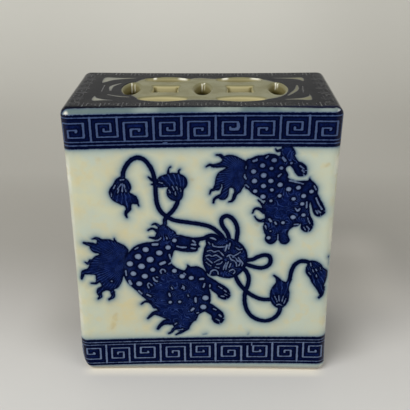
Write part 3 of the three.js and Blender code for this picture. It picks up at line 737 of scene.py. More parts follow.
def rounded(middle, start):
    """Places and outward normals round an upright edge, without the last."""
    angle = start + np.arange(CORNER_STEPS) / CORNER_STEPS * math.pi / 2
    normals = np.stack([np.cos(angle), np.sin(angle)], axis=1)
    return np.array(middle) + CORNER_RADIUS * normals, normals


def half_girth():
    """The front slab's run with both its corners, and the right slab's."""
    x, y, r = HALF_WIDTH, HALF_DEPTH, CORNER_RADIUS
    front = (
        straight((-x, -SEAM), (-x, r - y)),
        rounded((r - x, r - y), math.pi),
        straight((r - x, -y), (x - r, -y)),
        rounded((x - r, r - y), -math.pi / 2),
        straight((x, r - y), (x, -SEAM)),
    )
    right = straight((x, -SEAM), (x, SEAM))
    return tuple(np.concatenate(part) for part in zip(*front)), right


(FRONT_PLACES, FRONT_NORMALS), (SIDE_PLACES, SIDE_NORMALS) = half_girth()
HALF_PLACES = np.concatenate([FRONT_PLACES, SIDE_PLACES])
HALF_NORMALS = np.concatenate([FRONT_NORMALS, SIDE_NORMALS])
PLACES = np.concatenate([HALF_PLACES, -HALF_PLACES])
NORMALS = np.concatenate([HALF_NORMALS, -HALF_NORMALS])
FRONT_COUNT, HALF_COUNT, COUNT = len(FRONT_PLACES), len(HALF_PLACES), len(PLACES)
GAPS = np.linalg.norm(np.roll(PLACES, -1, axis=0) - PLACES, axis=1)
GIRTH = GAPS.sum()
GIRTH_PLACE = np.concatenate([[0], np.cumsum(GAPS)[:-1]])
FRONT_MIDDLE = GIRTH_PLACE[FRONT_COUNT] / 2
SIDE_MIDDLE = (GIRTH_PLACE[FRONT_COUNT] + GIRTH_PLACE[HALF_COUNT]) / 2
HEIGHTS = np.linspace(WALL_LOW, WALL_HIGH, round((WALL_HIGH - WALL_LOW) / STEP) + 1)


def slump(points):
    """Where points of the true box go as the slabs sink in between their edges."""
    x, y, z = points.T.copy()
    upright = 1 - (2 * z / HEIGHT - 1) ** 2
    bow = 1 - (x / HALF_WIDTH) ** 2
    pull = np.where(y < 0, FRONT_PULL + FRONT_BELLY * upright, BACK_PULL)
    long_x, long_y, long_z = WAVE_LENGTHS
    wave = np.sin(x / long_x + WAVE_STARTS[0]) * np.sin(z / long_z + y / long_y + WAVE_STARTS[1])
    wave = WAVE * (0.5 + 0.5 * wave) * (1 - 0.6 * bow)
    corner = np.clip((-x - CORNER_PULL_START) / (HALF_WIDTH - CORNER_PULL_START), 0, 1) ** 2
    corner *= CORNER_PULL * np.exp(-z / CORNER_PULL_HEIGHT) * (0.75 - 0.25 * y / HALF_DEPTH)
    top = np.clip((z - WALL_HIGH) / END_THICKNESS, 0, 1)
    z -= top * TOP_SAG * bow * (1 - (y / HALF_DEPTH) ** 2)
    sunk = bow * pull + wave * (np.abs(y) > SEAM)
    y *= 1 - sunk / HALF_DEPTH * np.clip((HALF_WIDTH - np.abs(x)) / PULL_EASE, 0, 1)
    x *= 1 - (SIDE_PULL * upright + wave + corner) / HALF_WIDTH
    return np.stack([x, y, z], axis=1)


def wall_print(girth, height):
    """The whole print of points on the outside, from the four sheets round it."""
    whole = Sheet(girth, height)
    sheets = (
        (FRONT_MIDDLE, draw_broad, BROAD_SHEET_HALF),
        (SIDE_MIDDLE, draw_narrow, NARROW_SHEET_HALF),
        (FRONT_MIDDLE + GIRTH / 2, draw_broad, BROAD_SHEET_HALF),
        (SIDE_MIDDLE + GIRTH / 2, draw_narrow, NARROW_SHEET_HALF),
    )
    for middle, draw, half_width in sheets:
        across = (girth - middle + GIRTH / 2) % GIRTH - GIRTH / 2
        near = np.flatnonzero(np.abs(across) < half_width)
        if len(near):
            sheet = Sheet(across[near], height[near])
            draw(sheet)
            lay_over(whole, sheet, near)
    return whole


def lay_over(whole, sheet, near):
    """Lays a sheet over some points of the whole: where both have ink, the deeper counts."""
    deeper = sheet.ink > whole.ink[near]
    for part in PRINT_PARTS:
        getattr(whole, part)[near[deeper]] = getattr(sheet, part)[deeper]


# Gathering faces into one closed mesh


class Body:
    """Points, faces and a flat map of one closed piece."""

    def __init__(self):
        self.points = []
        self.faces = []
        self.flat = []
        self.count = 0

    def add(self, points):
        """Adds points and gives their numbers, in the same arrangement."""
        shape = points.shape[:-1]
        self.points.append(points.reshape(-1, 3))
        numbers = self.count + np.arange(int(np.prod(shape))).reshape(shape)
        self.count += numbers.size
        return numbers

    def face(self, corners, flat):
        self.faces.append([int(corner) for corner in corners])
        self.flat.append(np.asarray(flat, float))

    def quads(self, grid, flat, closed=False):
        """Quads over a grid of numbers whose rows go up and columns go anticlockwise round."""
        if closed:
            grid = np.concatenate([grid, grid[:, :1]], axis=1)
        corners, spread = (
            np.stack([part[:-1, :-1], part[:-1, 1:], part[1:, 1:], part[1:, :-1]], axis=2)
            for part in (grid, flat)
        )
        self.faces.extend(corners.reshape(-1, 4).tolist())
        self.flat.append(spread.reshape(-1, 2))

    def triangles(self, corners, flat):
        self.faces.extend(corners.tolist())
        self.flat.append(flat[corners].reshape(-1, 2))


def piece(name, body, values, material, turn_over=False):
    """Makes the mesh object of a gathered body, in its place, riding on the one body there is."""
    points = np.concatenate(body.points)
    faces = body.faces
    flat = np.concatenate(body.flat)
    if turn_over:
        starts = np.cumsum([0] + [len(face) for face in faces])
        flat = np.concatenate([flat[a:b][::-1] for a, b in zip(starts[:-1], starts[1:])])
        faces = [face[::-1] for face in faces]
    mesh = bpy.data.meshes.new(name)
    mesh.from_pydata((slump(points) * MM).tolist(), [], faces)
    for key, numbers in values.items():
        mesh.attributes.new(key, "FLOAT", "POINT").data.foreach_set("value", numbers.astype(np.float32))
    mesh.uv_layers.new(name="OFBake").data.foreach_set("uv", flat.ravel().astype(np.float32))
    mesh.polygons.foreach_set("use_smooth", np.ones(len(mesh.polygons), bool))
    mesh.set_sharp_from_angle(angle=math.radians(SHARP_ANGLE))
    mesh.materials.append(material)
    mesh.validate()
    thing = bpy.data.objects.new(name, mesh)
    bpy.context.scene.collection.objects.link(thing)
    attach(thing, "root")
    return thing


def panel_values(body, girth, points, grid):
    """Point values of a panel: its print and marks where it is skin, and bare clay elsewhere."""
    girth, height, skin = girth.ravel(), points[..., 2].ravel(), grid.ravel()
    blank = Sheet(np.zeros(body.count), np.zeros(body.count))
    lay_over(blank, wall_print(girth, height), skin)
    values = {part: getattr(blank, part) for part in PRINT_PARTS}
    values["rust"] = np.zeros(body.count)
    values["rust"][skin] = rust_marks(girth - FRONT_MIDDLE, height)
    values["bare"] = np.ones(body.count)
    values["bare"][skin] = 0
    return values


def skin_grid(first, count):
    """Points of the outside from a station of the girth on, and their places along it."""
    stations = np.arange(first, first + count + 1) % COUNT
    points = np.empty((len(HEIGHTS), len(stations), 3))
    points[..., :2] = PLACES[stations][None]
    points[..., 2] = HEIGHTS[:, None]
    return points, np.broadcast_to(GIRTH_PLACE[stations][None], points.shape[:2])


def mesh_map(across, up):
    return np.stack(np.meshgrid(across, up), axis=-1)


# The upright slabs. The numbers say where their parts lie in their flat maps, from 0 to 1

MAP_SPAN = 0.92
MAP_GAP = 0.02
BROAD_MAP_ROWS = (0.93, 0.96)
BROAD_MAP_EDGES = (0.93, 0.99)
SIDE_MAP_WIDTH = 0.42
SIDE_MAP_NEXT = 0.45
INNER_MAP = (0.5, 0.84)
NEAR_EDGE_MAP = (0.87, 0.9)
FAR_EDGE_MAP = (0.93, 0.96)


def broad_panel(name, sign, material):
    """The front or back slab: its outside with both rounded upright edges, flat inside."""
    points, girth = skin_grid(0 if sign < 0 else HALF_COUNT, FRONT_COUNT)
    body = Body()
    grid = body.add(points)
    rows, columns = grid.shape
    across = np.linspace(0, MAP_SPAN, columns)
    up = np.linspace(0, MAP_SPAN, rows)
    body.quads(grid, mesh_map(across, up))
    top_row, low_row = (np.full(columns, row) for row in BROAD_MAP_ROWS)
    body.face(grid[-1], np.stack([across, top_row], axis=1))
    body.face(grid[0, ::-1], np.stack([across[::-1], low_row], axis=1))
    left, right = (np.full(rows, edge) for edge in BROAD_MAP_EDGES)
    inner_flat = [np.stack([left, up], axis=1), np.stack([right, up[::-1]], axis=1)]
    body.face(np.concatenate([grid[:, 0], grid[::-1, -1]]), np.concatenate(inner_flat))
    values = panel_values(body, girth, points, grid)
    thing = piece(name, body, values, material)
    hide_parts(name)


def narrow_panel(name, sign, material):
    """A side slab between the two broad ones, flat inside."""
    first = FRONT_COUNT if sign > 0 else HALF_COUNT + FRONT_COUNT
    points, girth = skin_grid(first, HALF_COUNT - FRONT_COUNT)
    body = Body()
    grid = body.add(points)
    inner_x = sign * (HALF_WIDTH - WALL)
    inner = body.add(np.array([
        [(inner_x, -sign * SEAM, z), (inner_x, sign * SEAM, z)] for z in (WALL_LOW, WALL_HIGH)
    ], float))
    (low_near, low_far), (high_near, high_far) = inner
    rows, columns = grid.shape
    across = np.linspace(0, SIDE_MAP_WIDTH, columns)
    up = np.linspace(0, MAP_SPAN, rows)
    body.quads(grid, mesh_map(across, up))
    row = np.full(columns, MAP_SPAN + MAP_GAP)
    beyond = MAP_SPAN + 2 * MAP_GAP
    body.face([*grid[-1], high_far, high_near],
              [*zip(across, row), (SIDE_MAP_WIDTH, beyond), (0, beyond)])
    body.face([*grid[0, ::-1], low_near, low_far],
              [*zip(across[::-1] + SIDE_MAP_NEXT, row), (SIDE_MAP_NEXT, beyond),
               (SIDE_MAP_NEXT + SIDE_MAP_WIDTH, beyond)])
    left, right = INNER_MAP
    body.face([low_near, high_near, high_far, low_far],
              [(left, 0), (left, MAP_SPAN), (right, MAP_SPAN), (right, 0)])
    left, right = NEAR_EDGE_MAP
    body.face([low_near, *grid[:, 0], high_near],
              [(left, 0), *zip(np.full(rows, right), up), (left, MAP_SPAN)])
    left, right = FAR_EDGE_MAP
    body.face([high_far, *grid[::-1, -1], low_far],
              [(left, MAP_SPAN), *zip(np.full(rows, right), up[::-1]), (left, 0)])
    values = panel_values(body, girth, points, grid)
    thing = piece(name, body, values, material)
    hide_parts(name)


# The lattice's holes, each a function of how much its outline is grown


def arc(middle, radius, start, end, steps):
    """Points of an arc without its last."""
    angle = start + (end - start) * np.arange(steps) / steps
    return np.array(middle) + radius * np.stack([np.cos(angle), np.sin(angle)], axis=1)


def turned(points, quarters):
    """Points turned by quarter turns about the origin."""
    x, y = points.T
    return np.stack([(x, y), (-y, x), (-x, -y), (y, -x)][quarters % 4], axis=1)


def petal(growth):
    """A petal with its points along Y, grown all round."""
    centre, radius, end = COIN_PITCH / 2, COIN_RADIUS - PETAL_WEB, GLAZED_TIP_RADIUS
    tip = math.sqrt((radius - end) ** 2 - centre ** 2)
    turn = math.atan2(tip, centre)
    return np.concatenate([
        arc((-centre, 0), radius + growth, -turn, turn, HOLE_SIDE_STEPS),
        arc((0, tip), end + growth, turn, math.pi - turn, HOLE_TIP_STEPS),
        arc((centre, 0), radius + growth, math.pi - turn, math.pi + turn, HOLE_SIDE_STEPS),
        arc((0, -tip), end + growth, math.pi + turn, 2 * math.pi - turn, HOLE_TIP_STEPS),
    ])


def square(growth):
    """A coin's square hole with hollow sides, grown all round."""
    radius = COIN_RADIUS + SQUARE_WEB
    tip = (COIN_PITCH - math.sqrt(2 * (radius + TIP_RADIUS) ** 2 - COIN_PITCH ** 2)) / 2
    turn = math.atan2(tip, COIN_PITCH - tip)
    quarter = np.concatenate([
        arc((COIN_PITCH, 0), radius - growth, math.pi + turn, math.pi - turn, HOLE_SIDE_STEPS // 2),
        arc((tip, tip), TIP_RADIUS + growth, -turn, math.pi / 2 + turn, HOLE_TIP_STEPS),
    ])
    return np.concatenate([turned(quarter, i) for i in range(4)])


def lattice():
    """Every hole of an end: its outline as a function of growth."""
    half = COIN_PITCH / 2
    holes = [lambda growth, x=x: petal(growth) + (x, 0) for x in (LEFT_PETAL_PLACE, 0, COIN_PITCH)]
    for x in (-half, half):
        holes.append(lambda growth, x=x: square(growth) + (x, 0))
        for y in (-half, half):
            holes.append(lambda growth, x=x, y=y: turned(petal(growth), 1) + (x, y))
    return holes


# Pierced end plates. The numbers say where their parts lie in their flat maps, from 0 to 1

RIM_MAP = (0.55, 0.68)
RIM_MAP_LENGTH = 0.98
RIM_MAP_NEXT = 0.15
HOLE_MAP_WIDTH = 0.1
HOLE_MAP_PITCH = 0.105
HOLE_MAP_HEIGHTS = (0.99, 0.86)
FLAT_MAP_SIZE = 0.9
TOP_MAP_PLACE = (0.46, 0.27)
UNDER_MAP_SQUEEZE = (0.08, 1)
UNDER_MAP_PLACE = (0.95, 0.27)

# Clear strips beside the rim and the holes in the even places of a flat, and how far down a hole
# the print fades out

RIM_CLEARANCE = 0.4
HOLE_CLEARANCE = 0.3
PRINT_FADE = 0.5

# The kinds of holes: how dark the painted shade of each is at its foot, and how cream its glaze. Then
# where the cream begins and over how much it blurs, and how painted shade darkens the square ones' corners

UPRIGHT_HOLE = (1, 0.2)
SQUARE_HOLE = (0.3, 0.9)
FRONT_HOLE = (0.25, 1)
BACK_HOLE = (0.8, 0.45)
CREAM_START = 0.2
CREAM_BLUR = 0.8
SQUARE_CORNER = 4.4
SQUARE_CORNER_BLUR = 1.2
SQUARE_CORNER_START = 0.8

# Painted highlights streaking down the far walls of holes: place across, half width, where each
# begins and ends on the way down, and the nearest place that it can be

GLINTS = (
    (-36.4, 0.3, 0.2, 5.5, 4), (-35, 0.24, 0.2, 4.6, 4), (-0.4, 0.3, 0.2, 4.2, 4), (0.7, 0.24, 0.2, 3.4, 4),
    (37, 0.4, 0.2, 3.8, 4), (38, 0.3, 0.2, 3, 4), (-25.2, 1.1, 0.4, 1.1, 18), (-10.7, 2.9, 0.4, 1.2, 18),
    (11.4, 2.1, 0.4, 1.1, 18), (27.2, 3.2, 0.4, 1.0, 18),
)
GLINT_FADE = 0.6
GLINT_DEPTH = 8.0

# Small glints on the rounded front corners, fainter on the lower end

CORNER_GLINTS = ((-61.8, -35.4, 141.4), (62.6, -34.4, 142.2))
CORNER_GLINT_SHAPE = (1, 1, 0.6)
CORNER_GLINT_SIZE = 0.9
LOWER_GLINT = 0.35


def with_height(points, z):
    return np.concatenate([points, np.full((len(points), 1), z)], axis=1)


def rim_levels():
    """Height and inset of an end's side, up to and over its rounded rim."""
    base = HEIGHT - EDGE_RADIUS
    levels = [(z, 0.0) for z in np.linspace(WALL_HIGH, base, round((base - WALL_HIGH) / STEP) + 1)[:-1]]
    for angle in np.linspace(0, math.pi / 2, RIM_STEPS + 1):
        levels.append((base + EDGE_RADIUS * math.sin(angle), EDGE_RADIUS * (1 - math.cos(angle))))
    return levels


def lip_levels():
    """Height and growth of a hole's wall, from its upper lip down to its lower one."""
    angles = np.linspace(0, math.pi / 2, LIP_STEPS + 1)
    rise = LIP_RADIUS + GLAZE_IN_HOLES
    upper = [(HEIGHT - rise * (1 - math.cos(a)), rise * (1 - math.sin(a)) - GLAZE_IN_HOLES) for a in angles]
    lower = [(WALL_HIGH + HEIGHT - z, growth) for z, growth in reversed(upper)]
    middle = [((upper[-1][0] * (3 - i) + lower[0][0] * i) / 3, -GLAZE_IN_HOLES) for i in (1, 2)]
    return upper + middle + lower


def add_rim(body):
    """The outer side of an end with its rounded rim; gives its points' numbers."""
    grid = body.add(np.array([with_height(PLACES - NORMALS * inset, z) for z, inset in rim_levels()]))
    up = np.linspace(*RIM_MAP, len(grid))
    for part in range(2):
        numbers = np.arange(part * HALF_COUNT, (part + 1) * HALF_COUNT + 1) % COUNT
        across = np.linspace(0, RIM_MAP_LENGTH, HALF_COUNT + 1)
        body.quads(grid[:, numbers], mesh_map(across, up + RIM_MAP_NEXT * part))
    return grid


def add_holes(body):
    """The walls of the holes; gives the numbers of their points, hole by hole."""
    levels = lip_levels()
    holes = []
    for index, outline in enumerate(lattice()):
        numbers = body.add(np.array([with_height(outline(growth), z) for z, growth in levels]))
        across = np.linspace(0, HOLE_MAP_WIDTH, numbers.shape[1] + 1) + HOLE_MAP_PITCH * index
        body.quads(numbers, mesh_map(across, np.linspace(*HOLE_MAP_HEIGHTS, len(levels))), closed=True)
        holes.append(numbers)
    return holes


def outside_holes(places, paths, margin):
    """Which places lie outside every path, by more than a margin."""
    free = np.ones(len(places), bool)
    for path in paths:
        low, high = path.min(0) - 1, path.max(0) + 1
        near = np.flatnonzero(np.all((places > low) & (places < high), axis=1))
        free[near] &= inside(places[near, 0], places[near, 1], path) < -margin
    return free


def flat_places(paths):
    """Even places on the flat of an end, clear of its rim and its holes."""
    xs = np.arange(-HALF_WIDTH, HALF_WIDTH, PLATE_STEP)
    ys = np.arange(-HALF_DEPTH, HALF_DEPTH, PLATE_STEP)
    places = mesh_map(xs, ys).reshape(-1, 2)
    reach = np.array((HALF_WIDTH, HALF_DEPTH)) - EDGE_RADIUS - RIM_CLEARANCE
    places = places[np.all(np.abs(places) < reach, axis=1)]
    return places[outside_holes(places, paths, HOLE_CLEARANCE)]


def covering(points, loops, paths):
    """Triangles over flat points with the loops as edges, facing up, outside the paths."""
    edges = [pair for loop in loops for pair in zip(loop.tolist(), np.roll(loop, -1).tolist())]
    made = delaunay_2d_cdt([Vector(point) for point in points], edges, [], 0, 1e-7)
    numbers = np.array([source[0] for source in made[3]])
    triangles = numbers[np.array(made[2])]
    triangles = triangles[outside_holes(points[triangles].mean(axis=1), paths, -1e-6)]
    a, b, c = (points[triangles[:, i]] for i in range(3))
    area = (b - a)[:, 0] * (c - a)[:, 1] - (b - a)[:, 1] * (c - a)[:, 0]
    triangles[area < 0] = triangles[area < 0][:, ::-1]
    return triangles


def cover(body, loops, extra, facing_up, squeeze, place):
    """Closes a flat side of an end between its rim, the first loop, and its holes, the other loops."""
    points = np.concatenate(body.points)[:, :2]
    used = np.concatenate([*loops, extra]).astype(int)
    back = np.full(body.count, -1)
    back[used] = np.arange(len(used))
    paths = [points[loop] for loop in loops[1:]]
    triangles = used[covering(points[used], [back[loop] for loop in loops], paths)]
    if not facing_up:
        triangles = triangles[:, ::-1]
    body.triangles(triangles, points / (2 * HALF_WIDTH) * FLAT_MAP_SIZE * squeeze + place)


def end_print(points, grid, holes, lower):
    """The print of an end: the walls' print round its side, and the upper one's own on its flat."""
    whole = Sheet(points[:, 0], points[:, 1])
    whole.band[:] = PAST_BAND
    height = points[grid.ravel(), 2]
    girth = np.broadcast_to(GIRTH_PLACE[None], grid.shape).ravel()
    lay_over(whole, wall_print(girth, HEIGHT - height if lower else height), grid.ravel())
    if not lower:
        on_top = np.flatnonzero(points[:, 2] > HEIGHT - EDGE_RADIUS)
        sheet = Sheet(points[on_top, 0], points[on_top, 1])
        draw_top(sheet)
        lay_over(whole, sheet, on_top)
    in_holes = np.concatenate([hole.ravel() for hole in holes])
    sunk = np.clip((HEIGHT - points[in_holes, 2]) / PRINT_FADE, 0, 1)
    whole.ink[in_holes] = whole.ink[in_holes] * (1 - sunk) - REACH * sunk
    return {part: getattr(whole, part) for part in PRINT_PARTS}


def hole_shades(points, holes):
    """Painted shade and cream down the walls of the holes, further down the more so."""
    well = np.zeros(len(points))
    cream = np.zeros(len(points))
    kinds = (UPRIGHT_HOLE,) * 3 + (SQUARE_HOLE, FRONT_HOLE, BACK_HOLE) * 2
    for hole, (darkness, paleness) in zip(holes, kinds):
        down = HEIGHT - points[hole, 2]
        well[hole] = np.maximum(down / END_THICKNESS * darkness, np.clip(down, 0, 0.1) / 5)
        cream[hole] = paleness * np.clip((down - CREAM_START) / CREAM_BLUR, 0, 1)
        if darkness == SQUARE_HOLE[0]:
            # Painted shade in the corners of the square holes
            sideways = np.abs(np.abs(points[hole, 0]) - COIN_PITCH / 2)
            in_corner = np.clip((sideways - SQUARE_CORNER) / SQUARE_CORNER_BLUR, 0, 1)
            well[hole] += in_corner * np.clip(down - SQUARE_CORNER_START, 0, 0.5)
    return {"well": well, "cream": cream}


def glint_marks(points, holes, lower):
    """Streaks of light down the holes' far walls and on the rounded front corners."""
    glint = np.zeros(len(points))
    at = np.concatenate([hole.ravel() for hole in holes])
    x, y, depth = points[at, 0], points[at, 1], HEIGHT - points[at, 2]
    for middle, half_width, start, end, nearest in GLINTS:
        streak = np.clip(1.6 * (1 - np.abs(x - middle) / half_width), 0, 1)
        streak *= np.clip((end - depth) / GLINT_FADE, 0, 1) * np.clip((depth - start) / GLINT_FADE + 1, 0, 1)
        far_wall = (y > nearest) & (y < nearest + GLINT_DEPTH)
        glint[at] = np.maximum(glint[at], streak * far_wall)
    for corner in CORNER_GLINTS:
        away = np.linalg.norm((points - corner) * CORNER_GLINT_SHAPE, axis=1)
        strength = LOWER_GLINT if lower else 1
        glint = np.maximum(glint, np.clip(1.8 - away / CORNER_GLINT_SIZE, 0, 1) * strength)
    return glint


def end_plate(name, lower, material):
    """A pierced end: rounded rim, lattice with rounded lips, and its print."""
    body = Body()
    grid = add_rim(body)
    holes = add_holes(body)
    points = np.concatenate(body.points)
    extra = body.add(with_height(flat_places([points[hole[0], :2] for hole in holes]), HEIGHT))
    cover(body, [grid[-1], *(hole[0] for hole in holes)], extra, True, 1, TOP_MAP_PLACE)
    lower_loops = [grid[0], *(hole[-1] for hole in holes)]
    cover(body, lower_loops, extra[:0], False, UNDER_MAP_SQUEEZE, UNDER_MAP_PLACE)
    points = np.concatenate(body.points)
    bare = (points[:, 2] < WALL_HIGH + 0.01).astype(float)
    bare[grid[0]] = 0
    values = end_print(points, grid, holes, lower)
    values.update(hole_shades(points, holes), bare=bare, glint=glint_marks(points, holes, lower))
    if lower:
        body.points = [block * (1, 1, -1) + (0, 0, HEIGHT) for block in body.points]
    thing = piece(name, body, values, material, lower)
    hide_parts(name)


# Materials


def shade(red, green, blue):
    """A colour written as it looks, 0 to 255, as the linear colour that shaders take."""
    def linear(level):
        level /= 255
        return level / 12.92 if level <= 0.04045 else ((level + 0.055) / 1.055) ** 2.4
    return (linear(red), linear(green), linear(blue), 1)


# The ink, and the tints it leaves in the glaze beside it: how far in millimetres, and how strong

INK_EDGE = shade(0, 4, 32)
INK_DARK = shade(2, 8, 40)
INK_MID = shade(14, 31, 86)
END_INK = shade(12, 14, 24)
STAIN = shade(52, 68, 108)
END_STAIN = shade(66, 66, 74)
STAIN_REACH = 0.38
STAIN_SHARE = 0.9
HAZE = shade(150, 164, 164)
END_HAZE = shade(104, 106, 96)
HAZE_REACH = 1.5
BLEED = shade(117, 139, 144)
BLEED_REACH = 1.6
BLEED_SHARE = 0.87
VEIL = shade(122, 136, 160)
HIGH_VEIL = shade(72, 88, 121)
VEIL_REACH = 8.0

# How close hair lines lie, as radians of their wave for a millimetre of comb and for the whole of a
# noise, and how far the comb wanders

HAIR = shade(48, 68, 124)
HAIR_CLOSENESS = 4.8
CURL_CLOSENESS = 95.0
HAIR_WANDER = 1.1

# The glaze, on the walls, at the edges and round the lattice, then the holes and bare clay

MILK = shade(184, 195, 183)
# Painted highlight along the upright edges, and the height of its brighter painted streak
EDGE_HIGHLIGHT = shade(214, 213, 196)
HIGHLIGHT_HEIGHT = 112.0
RUSTY = shade(170, 148, 96)
# Painted shade on the rounded rims, lighter on the lower end, and painted bounce light on the foot
RIM_SHADE = shade(92, 109, 108)
LOW_RIM_SHADE = shade(146, 143, 146)
FOOT_BOUNCE_LIGHT = shade(255, 247, 228)
# Olive glaze on the flat of an end and in its holes, laid darker as painted shade
OLIVE = shade(116, 113, 84)
WORN_END = shade(134, 134, 124)
GLINT = shade(232, 230, 214)
CREAM = shade(184, 174, 130)
# Painted shade down the walls of the holes, deeper further down
WELL_SHADE = shade(134, 124, 80)
DEEP_WELL_SHADE = shade(82, 74, 38)
CLAY = shade(196, 178, 132)
CLAY_DARK = shade(150, 128, 84)
SPECK = shade(92, 74, 48)
SPECK_SCALE = 115.0
SPECK_CHANCE = 0.93

# How much the glaze mirrors: the broad faces are the duller for years of handling

WALL_SHINE = 0.02
EDGE_SHINE = 0.16
END_SHINE = 0.02


class Shader:
    """A node material, written as short formulas."""

    def __init__(self, name):
        self.material = bpy.data.materials.new(name)
        self.material.use_nodes = True
        self.tree = self.material.node_tree
        self.tree.nodes.clear()
        self.place = self.node("ShaderNodeTexCoord").outputs["Object"]

    def node(self, kind, inputs=None, **settings):
        node = self.tree.nodes.new(kind)
        for key, value in settings.items():
            setattr(node, key, value)
        for key, value in (inputs or {}).items():
            self.feed(node.inputs[key], value)
        return node

    def feed(self, socket, value):
        if isinstance(value, bpy.types.NodeSocket):
            self.tree.links.new(value, socket)
        else:
            socket.default_value = value

    def axes(self):
        return self.node("ShaderNodeSeparateXYZ", {0: self.place}).outputs

    def math(self, operation, a, b=0.0, clamp=False):
        return self.node("ShaderNodeMath", {0: a, 1: b}, operation=operation, use_clamp=clamp).outputs[0]

    def times(self, a, b):
        return self.math("MULTIPLY", a, b)

    def plus(self, a, b):
        return self.math("ADD", a, b)

    def attribute(self, name):
        return self.node("ShaderNodeAttribute", attribute_name=name).outputs["Fac"]

    def noise(self, scale, detail=2.0, roughness=0.5):
        inputs = {"Vector": self.place, "Scale": scale, "Detail": detail, "Roughness": roughness}
        return self.node("ShaderNodeTexNoise", inputs).outputs[0]

    def ramp(self, value, low, high, to_low=0.0, to_high=1.0):
        inputs = {"Value": value, "From Min": low, "From Max": high, "To Min": to_low, "To Max": to_high}
        return self.node("ShaderNodeMapRange", inputs, interpolation_type="SMOOTHSTEP").outputs[0]

    def zone(self, length, low, high, to_low=0.0, to_high=1.0):
        """A ramp over a length, between two places in millimetres."""
        return self.ramp(length, low * MM, high * MM, to_low, to_high)

    def mix(self, factor, a, b):
        return self.node("ShaderNodeMix", {0: factor, 6: a, 7: b}, data_type="RGBA").outputs[2]

    def finish(self, inputs, height=None):
        surface = self.node("ShaderNodeBsdfPrincipled", inputs)
        if height is not None:
            bump = self.node("ShaderNodeBump", {"Height": height, "Strength": 1.0, "Distance": MM})
            self.feed(surface.inputs["Normal"], bump.outputs[0])
        output = self.node("ShaderNodeOutputMaterial")
        self.tree.links.new(surface.outputs[0], output.inputs["Surface"])
        return self.material


